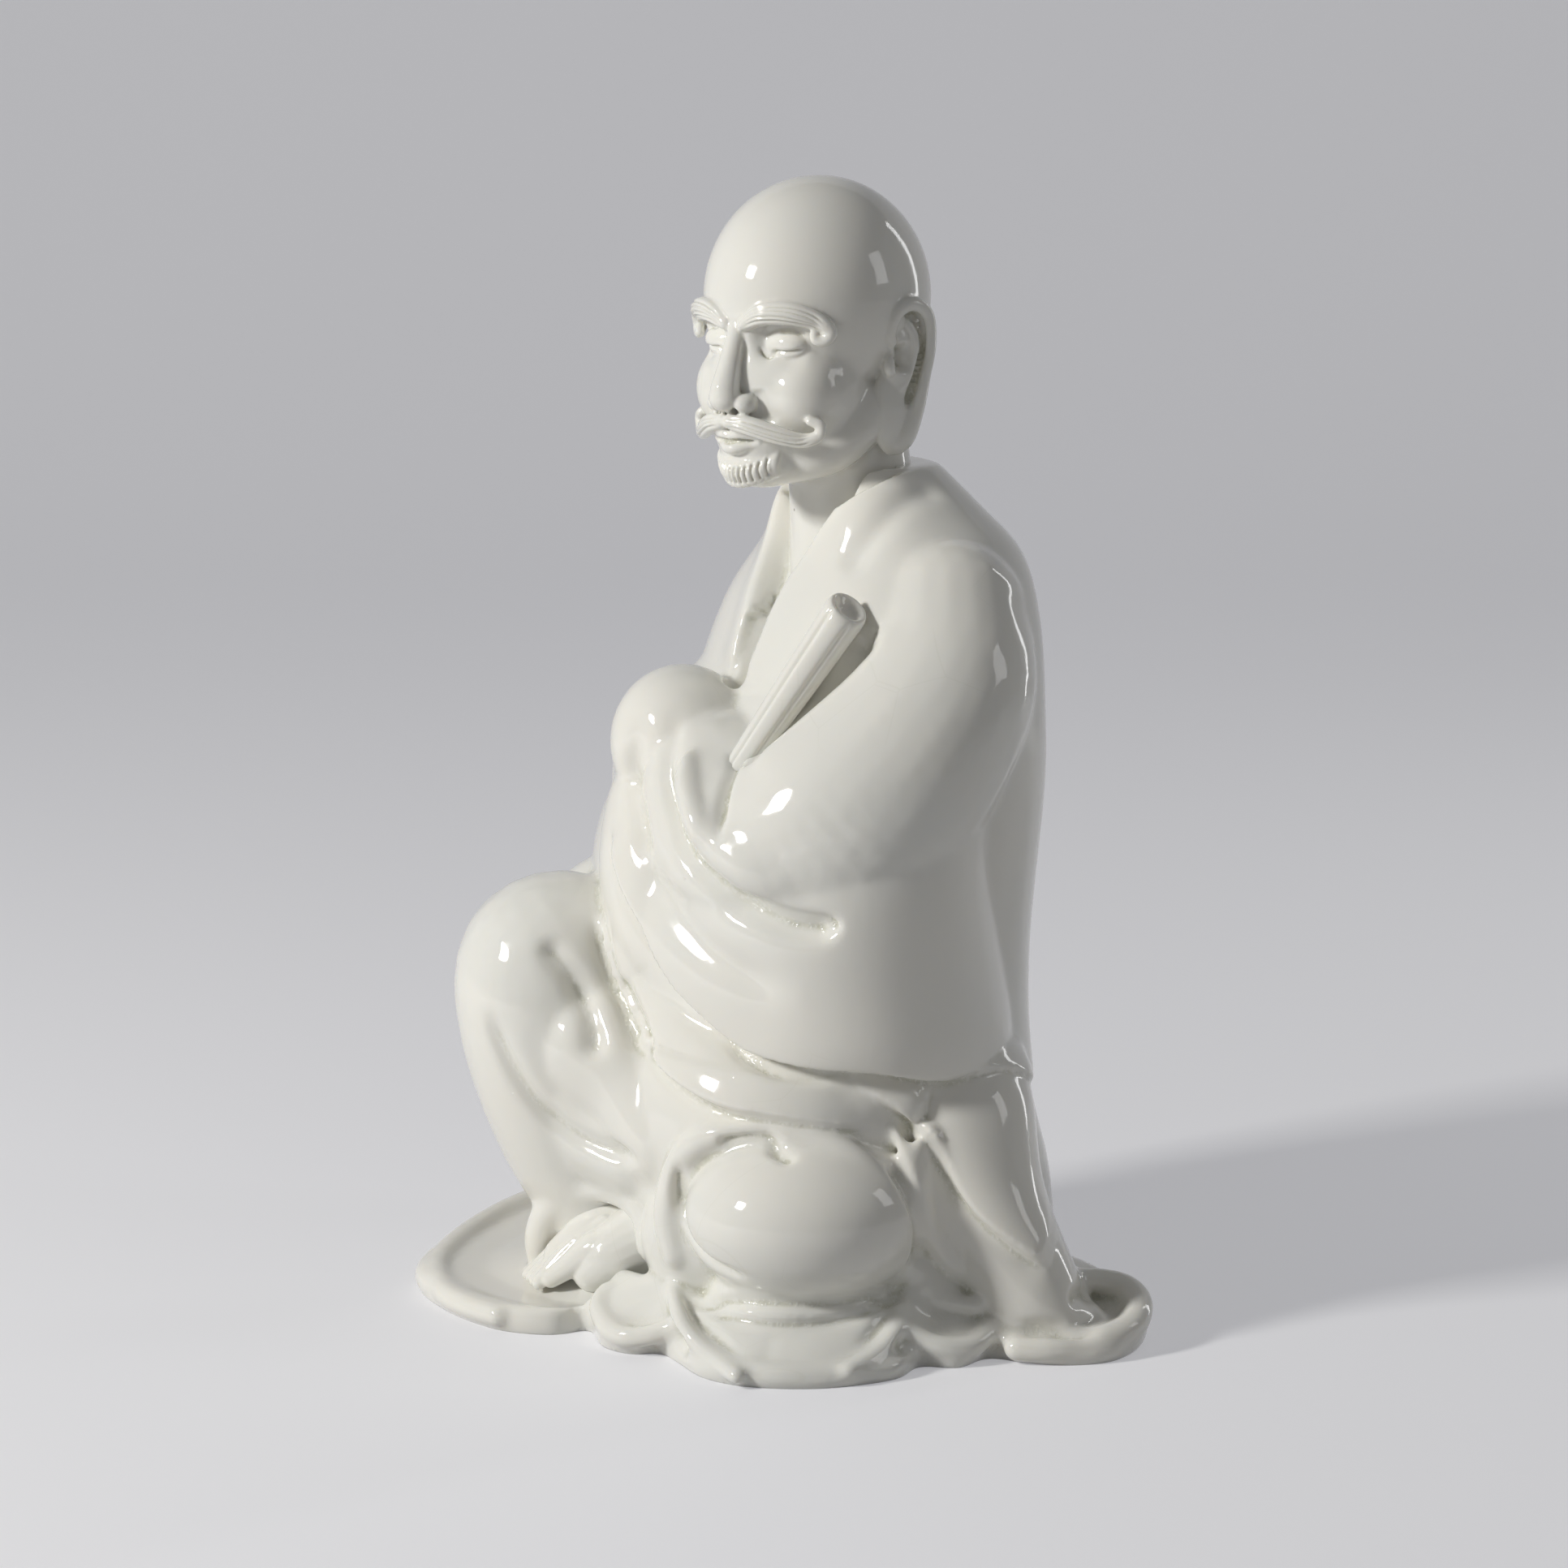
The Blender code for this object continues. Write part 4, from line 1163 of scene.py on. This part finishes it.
class PORCELAIN_OT_foot(bpy.types.Operator):
    """Models the bare foot under the raised leg"""

    bl_idname = "porcelain.foot"
    bl_label = "Foot"

    def execute(self, context):
        pile = bmesh.new()
        inner_half = [(4, -24, 15, 8), (4, -29, 13.5, 6.6), (3.6, -33, 11.5, 5.6), (2.5, -36, 9, 4)]
        outer_half = [(-2, -26, 16, 7), (-2, -34, 14, 5), (-4, -39, 10, 4)]
        big_toe = [
            (4.5, -31, 13, 4.5),
            (3.2, -35.5, 13, 3.4),
            (1.5, -39.5, 10.2, 2.3),
            (-0.5, -43, 7.4, 1.7),
        ]
        for stations in (inner_half, outer_half, big_toe):
            limb(pile, stations)
        for k in range(4):
            x = 0.6 - 2.1 * k
            size = 1.5 - 0.1 * k
            toe = [
                (x + 1.2, -33.5, 17.2 - 0.2 * k, size),
                (x - 0.6, -38.2, 13.8 - 0.3 * k, size),
                (x - 1.8, -42.2, 9.6 - 0.3 * k, size),
                (x - 2.4, -44.8, 6.4, size * 0.85),
            ]
            limb(pile, toe)
        made = joined(mesh_object("foot", pile), grain=0.26, softening=6)
        mark_hollows(made)
        thinned(made, most=60000)
        hand_over(made, [glaze("ivory glaze")])
        return {"FINISHED"}


class PORCELAIN_OT_scroll(bpy.types.Operator):
    """Models the rolled scroll in the crook of the left arm"""

    bl_idname = "porcelain.scroll"
    bl_label = "Scroll"

    def execute(self, context):
        sizes = context.scene.monk_scroll
        long = sizes.length / MM
        wide = sizes.radius / MM
        lean = Vector((11, 19.5, 33.4)).normalized()
        put = Matrix.Translation((20.5, -19, 95.6)) @ lean.to_track_quat("Z", "X").to_matrix().to_4x4()
        around = 96
        angles = 2 * math.pi * np.arange(around) / around
        to_viewer = put.to_3x3().inverted() @ Vector((0.93, -0.37, 0))
        facing = math.atan2(to_viewer.y, to_viewer.x)
        lap_edges = np.zeros(around)
        for edge, depth in ((facing - 0.75, 0.12), (facing + 0.35, 0.08), (facing + 2.6, 0.09)):
            away = np.abs((angles - edge + math.pi) % (2 * math.pi) - math.pi)
            lap_edges += depth * np.exp(-((away / 0.13) ** 2))
        # Each section: share of the length, share of the radius, share of the lap edges
        sections = (
            (0, 0.62, 1),
            (0.2, 0.72, 1),
            (0.45, 0.84, 1),
            (0.7, 0.94, 1),
            (0.9, 1.0, 1),
            (0.96, 1.04, 0.7),
            (0.99, 1.0, 0.3),
            (1.0, 0.86, 0),
            (0.99, 0.66, 0),
            (0.972, 0.46, 0),
            (0.968, 0.2, 0),
        )
        rings = []
        for share, size, laps in sections:
            reach = wide * size * (1 - lap_edges * laps)
            slant = sizes.end_slant * eased((share - 0.6) / 0.3)
            ring = []
            for r, a in zip(reach, angles):
                height = long * share - slant * r * math.cos(a - facing)
                ring.append(put @ Vector((r * math.cos(a), r * math.sin(a), height)))
            rings.append(ring)
        bm = bmesh.new()
        stack(bm, rings)
        made = mesh_object("scroll", bm)
        round_off = made.modifiers.new("round off", "SUBSURF")
        round_off.levels = round_off.render_levels = 2
        baked(made)
        mark_hollows(made)
        hand_over(made, [glaze("ivory glaze")])
        return {"FINISHED"}


# Finishes


class Nodes:
    """Short ways to add and join a material's nodes."""

    def __init__(self, name):
        self.material = bpy.data.materials.new(name)
        self.material.use_nodes = True
        self.tree = self.material.node_tree
        self.place = self.add("ShaderNodeTexCoord", {})["Object"]

    def feed(self, node, inputs):
        """Joins or sets each named input of a node."""
        for socket, value in inputs.items():
            if isinstance(value, bpy.types.NodeSocket):
                self.tree.links.new(value, node.inputs[socket])
            else:
                node.inputs[socket].default_value = value

    def add(self, kind, inputs, **settings):
        """Adds a node and returns its outputs."""
        node = self.tree.nodes.new(kind)
        for key, value in settings.items():
            setattr(node, key, value)
        self.feed(node, inputs)
        return node.outputs

    def shade(self, inputs):
        """Feeds the surface shader and returns the finished material."""
        self.feed(self.tree.nodes["Principled BSDF"], inputs)
        return self.material

    def attribute(self, name):
        return self.add("ShaderNodeAttribute", {}, attribute_name=name)["Fac"]

    def noise(self, scale, detail):
        inputs = {"Vector": self.place, "Scale": scale, "Detail": detail}
        return self.add("ShaderNodeTexNoise", inputs)["Fac"]

    def cells(self, scale, feature="F1"):
        inputs = {"Vector": self.place, "Scale": scale}
        return self.add("ShaderNodeTexVoronoi", inputs, feature=feature)["Distance"]

    def span(self, value, low, high, out_low=0, out_high=1):
        inputs = {"Value": value, "From Min": low, "From Max": high, "To Min": out_low, "To Max": out_high}
        return self.add("ShaderNodeMapRange", inputs, interpolation_type="SMOOTHSTEP")["Result"]

    def math(self, operation, first, second):
        return self.add("ShaderNodeMath", {0: first, 1: second}, operation=operation)["Value"]

    def mix(self, amount, first, second):
        inputs = {"Factor": amount, "A": first, "B": second}
        return self.add("ShaderNodeMix", inputs, data_type="RGBA")["Result"]

    def bump(self, height, depth, strength, after=None):
        inputs = {"Height": height, "Distance": depth, "Strength": strength}
        if after:
            inputs["Normal"] = after
        return self.add("ShaderNodeBump", inputs)["Normal"]


def glaze(name):
    """Ivory glaze, greyer and sugary where it pools, with painted shade darkening its creases and hollows,
    dark specks and faint crackle.
    """
    if name in bpy.data.materials:
        return bpy.data.materials[name]
    look = bpy.context.scene.monk_glaze
    nodes = Nodes(name)
    # Painted shade: creases and hollows get darker towards the pooled colour, partly glaze gathered there
    # and partly shade painted into the colour
    crease = nodes.span(nodes.attribute("crease"), 0.2, 1.0)
    broad_hollow = nodes.span(nodes.attribute("broad_hollow"), 0.2, 1.0)
    gathered_glaze_and_shade = nodes.math("MAXIMUM", crease, nodes.math("MULTIPLY", broad_hollow, 0.55))
    sugar = nodes.span(nodes.noise(1500, 2), 0.5, 0.62)
    white = nodes.mix(nodes.span(nodes.noise(28, 2), 0.35, 0.65), (*look.white, 1), (*look.cool, 1))
    sugared_glaze_and_shade = nodes.math("MULTIPLY", gathered_glaze_and_shade, nodes.span(sugar, 0, 1, 0.85, 0.4))
    # The white darkened in creases and hollows, as pooled glaze and painted shade
    tinted = nodes.mix(sugared_glaze_and_shade, white, (*look.pooled_glaze_and_shade, 1))
    speck = nodes.span(nodes.cells(95), 0.022, 0.034, 1, 0)
    chance = nodes.span(nodes.noise(60, 1), 0.60, 0.63)
    specks = nodes.math("MULTIPLY", nodes.math("MULTIPLY", speck, chance), 0.75)
    specked = nodes.mix(specks, tinted, (*look.speck, 1))
    crackle = nodes.span(nodes.cells(70, "DISTANCE_TO_EDGE"), 0.002, 0.012, 1, 0)
    where = nodes.span(nodes.noise(22, 1), 0.56, 0.66)
    lines = nodes.math("MULTIPLY", nodes.math("MULTIPLY", crackle, where), 0.10)
    lined = nodes.mix(lines, specked, (*look.pooled_glaze_and_shade, 1))
    smooth = nodes.span(nodes.noise(300, 2), 0.3, 0.7, 0.05, 0.085)
    wave = nodes.bump(nodes.noise(85, 1), 0.0006, 0.10)
    peel = nodes.bump(nodes.noise(700, 2), 0.00006, 0.12, wave)
    surface = {
        "Base Color": lined,
        "Roughness": nodes.math("ADD", smooth, nodes.math("MULTIPLY", sugared_glaze_and_shade, 0.12)),
        "IOR": 1.52,
        "Subsurface Weight": 0.22,
        "Subsurface Radius": (1.0, 0.85, 0.62),
        "Subsurface Scale": 0.0028,
        "Normal": nodes.bump(nodes.math("MULTIPLY", sugar, gathered_glaze_and_shade), 0.00012, 0.55, peel),
    }
    return nodes.shade(surface)


def bare_clay(name):
    """Bare fired clay, matt and finely pitted."""
    if name in bpy.data.materials:
        return bpy.data.materials[name]
    look = bpy.context.scene.monk_glaze
    nodes = Nodes(name)
    darker = (*(0.82 * c for c in look.bare), 1)
    stain = nodes.mix(nodes.span(nodes.noise(90, 4), 0.4, 0.7), (*look.bare, 1), darker)
    surface = {
        "Base Color": stain,
        "Roughness": nodes.span(nodes.noise(900, 3), 0.3, 0.7, 0.6, 0.8),
        "Normal": nodes.bump(nodes.noise(1800, 3), 0.0001, 0.5),
    }
    return nodes.shade(surface)


# The studio


def lamp(name, place, aim, size, power, warmth=(1, 1, 1)):
    light = bpy.data.lights.new(name, "AREA")
    light.shape = "RECTANGLE"
    light.size, light.size_y = size
    light.energy = power
    light.color = warmth
    made = bpy.data.objects.new(name, light)
    made.location = place
    made.rotation_euler = (Vector(aim) - Vector(place)).to_track_quat("-Z", "Y").to_euler()
    bpy.context.scene.collection.objects.link(made)


class PORCELAIN_OT_studio(bpy.types.Operator):
    """Sets the floor, the lamps and the camera"""

    bl_idname = "porcelain.studio"
    bl_label = "Studio"

    def execute(self, context):
        look = context.scene.monk_studio
        scene = context.scene
        up = Vector((0, 0, 1))
        across = Vector((math.cos(look.azimuth), math.sin(look.azimuth), 0))
        ahead = Vector((math.sin(look.azimuth), -math.cos(look.azimuth), 0))
        middle = -FOOTPRINT_MIDDLE * MM + up * look.target + across * look.slide
        back = ahead * math.cos(look.elevation) + up * math.sin(look.elevation)

        camera = bpy.data.cameras.new("camera")
        camera.lens = look.lens
        camera.sensor_width = 36
        camera.clip_start = 0.01
        viewer = bpy.data.objects.new("camera", camera)
        viewer.location = middle + back * look.distance
        viewer.rotation_euler = (-back).to_track_quat("-Z", "Y").to_euler()
        scene.collection.objects.link(viewer)
        scene.camera = viewer

        bm = bmesh.new()
        turn = Matrix.Rotation(look.azimuth, 4, "Z")
        flat, radius = 1.0, 0.6  # metres of flat floor behind the figure, then the sweep's radius
        bmesh.ops.create_grid(bm, x_segments=1, y_segments=60, size=3, matrix=turn)
        for vert in bm.verts:
            behind = max(0, -vert.co.dot(ahead) - flat)
            bend = min(behind / radius, math.pi / 2)
            rise = radius * (1 - math.cos(bend)) + max(0, behind - radius * math.pi / 2)
            vert.co += ahead * (behind - radius * math.sin(bend)) + up * rise
        floor = mesh_object("floor", bm)
        floor.data.shade_smooth()
        nodes = Nodes("pale floor")
        seen = nodes.add("ShaderNodeLightPath", {})
        direct = nodes.math("MAXIMUM", seen["Is Camera Ray"], seen["Is Glossy Ray"])
        shown = nodes.math("MAXIMUM", direct, seen["Is Transmission Ray"])
        surface = {
            "Base Color": (*look.floor, 1),
            "Roughness": 0.75,
            "Emission Color": (0.95, 0.95, 1, 1),
            "Emission Strength": nodes.math("MULTIPLY", shown, 0.3),
        }
        floor.data.materials.append(nodes.shade(surface))

        chest = (0, 0, 0.1)
        key_place = -across * 0.86 + ahead * 0.44 + up * 0.56
        side_place = across * 0.75 + ahead * 0.12 + up * 0.42
        rim_place = across * 0.6 - ahead * 0.4 + up * 0.3
        lamp("key", key_place, chest, size=(0.16, 0.16), power=9.0, warmth=(1, 0.985, 0.95))
        lamp("side box", side_place, chest, size=(0.16, 0.3), power=0.35)
        lamp("rim", rim_place, chest, size=(0.06, 0.6), power=0.5)

        world = bpy.data.worlds.new("studio air")
        world.use_nodes = True
        air = world.node_tree.nodes["Background"].inputs
        air["Color"].default_value = (0.75, 0.76, 0.78, 1)
        air["Strength"].default_value = 0.2
        scene.world = world
        scene.view_settings.view_transform = "Standard"
        return {"FINISHED"}


# The panel


class PORCELAIN_PT_monk(bpy.types.Panel):
    """Lists the steps that make the monk"""

    bl_label = "Porcelain Monk"
    bl_idname = "PORCELAIN_PT_monk"
    bl_space_type = "VIEW_3D"
    bl_region_type = "UI"
    bl_category = "Porcelain"

    def draw(self, context):
        for step in STEPS:
            self.layout.operator(step.bl_idname)
        for group in GROUPS:
            box = self.layout.box()
            for name in GROUPS[group].__annotations__:
                box.prop(getattr(context.scene, group), name)


STEPS = (
    PORCELAIN_OT_studio,
    PORCELAIN_OT_robe,
    PORCELAIN_OT_head,
    PORCELAIN_OT_foot,
    PORCELAIN_OT_scroll,
)
GROUPS = {
    "monk_robe": RobeSizes,
    "monk_head": HeadSizes,
    "monk_scroll": ScrollSizes,
    "monk_glaze": GlazeLook,
    "monk_studio": StudioLook,
}


def register():
    for name, group in GROUPS.items():
        bpy.utils.register_class(group)
        setattr(bpy.types.Scene, name, PointerProperty(type=group))
    for each in (*STEPS, PORCELAIN_PT_monk):
        bpy.utils.register_class(each)


def unregister():
    for each in (*STEPS, PORCELAIN_PT_monk):
        bpy.utils.unregister_class(each)
    for name, group in GROUPS.items():
        delattr(bpy.types.Scene, name)
        bpy.utils.unregister_class(group)


def main():
    register()
    bpy.ops.porcelain.studio()
    bpy.ops.porcelain.robe()
    bpy.ops.porcelain.head()
    bpy.ops.porcelain.foot()
    bpy.ops.porcelain.scroll()


if __name__ == "__main__":
    main()
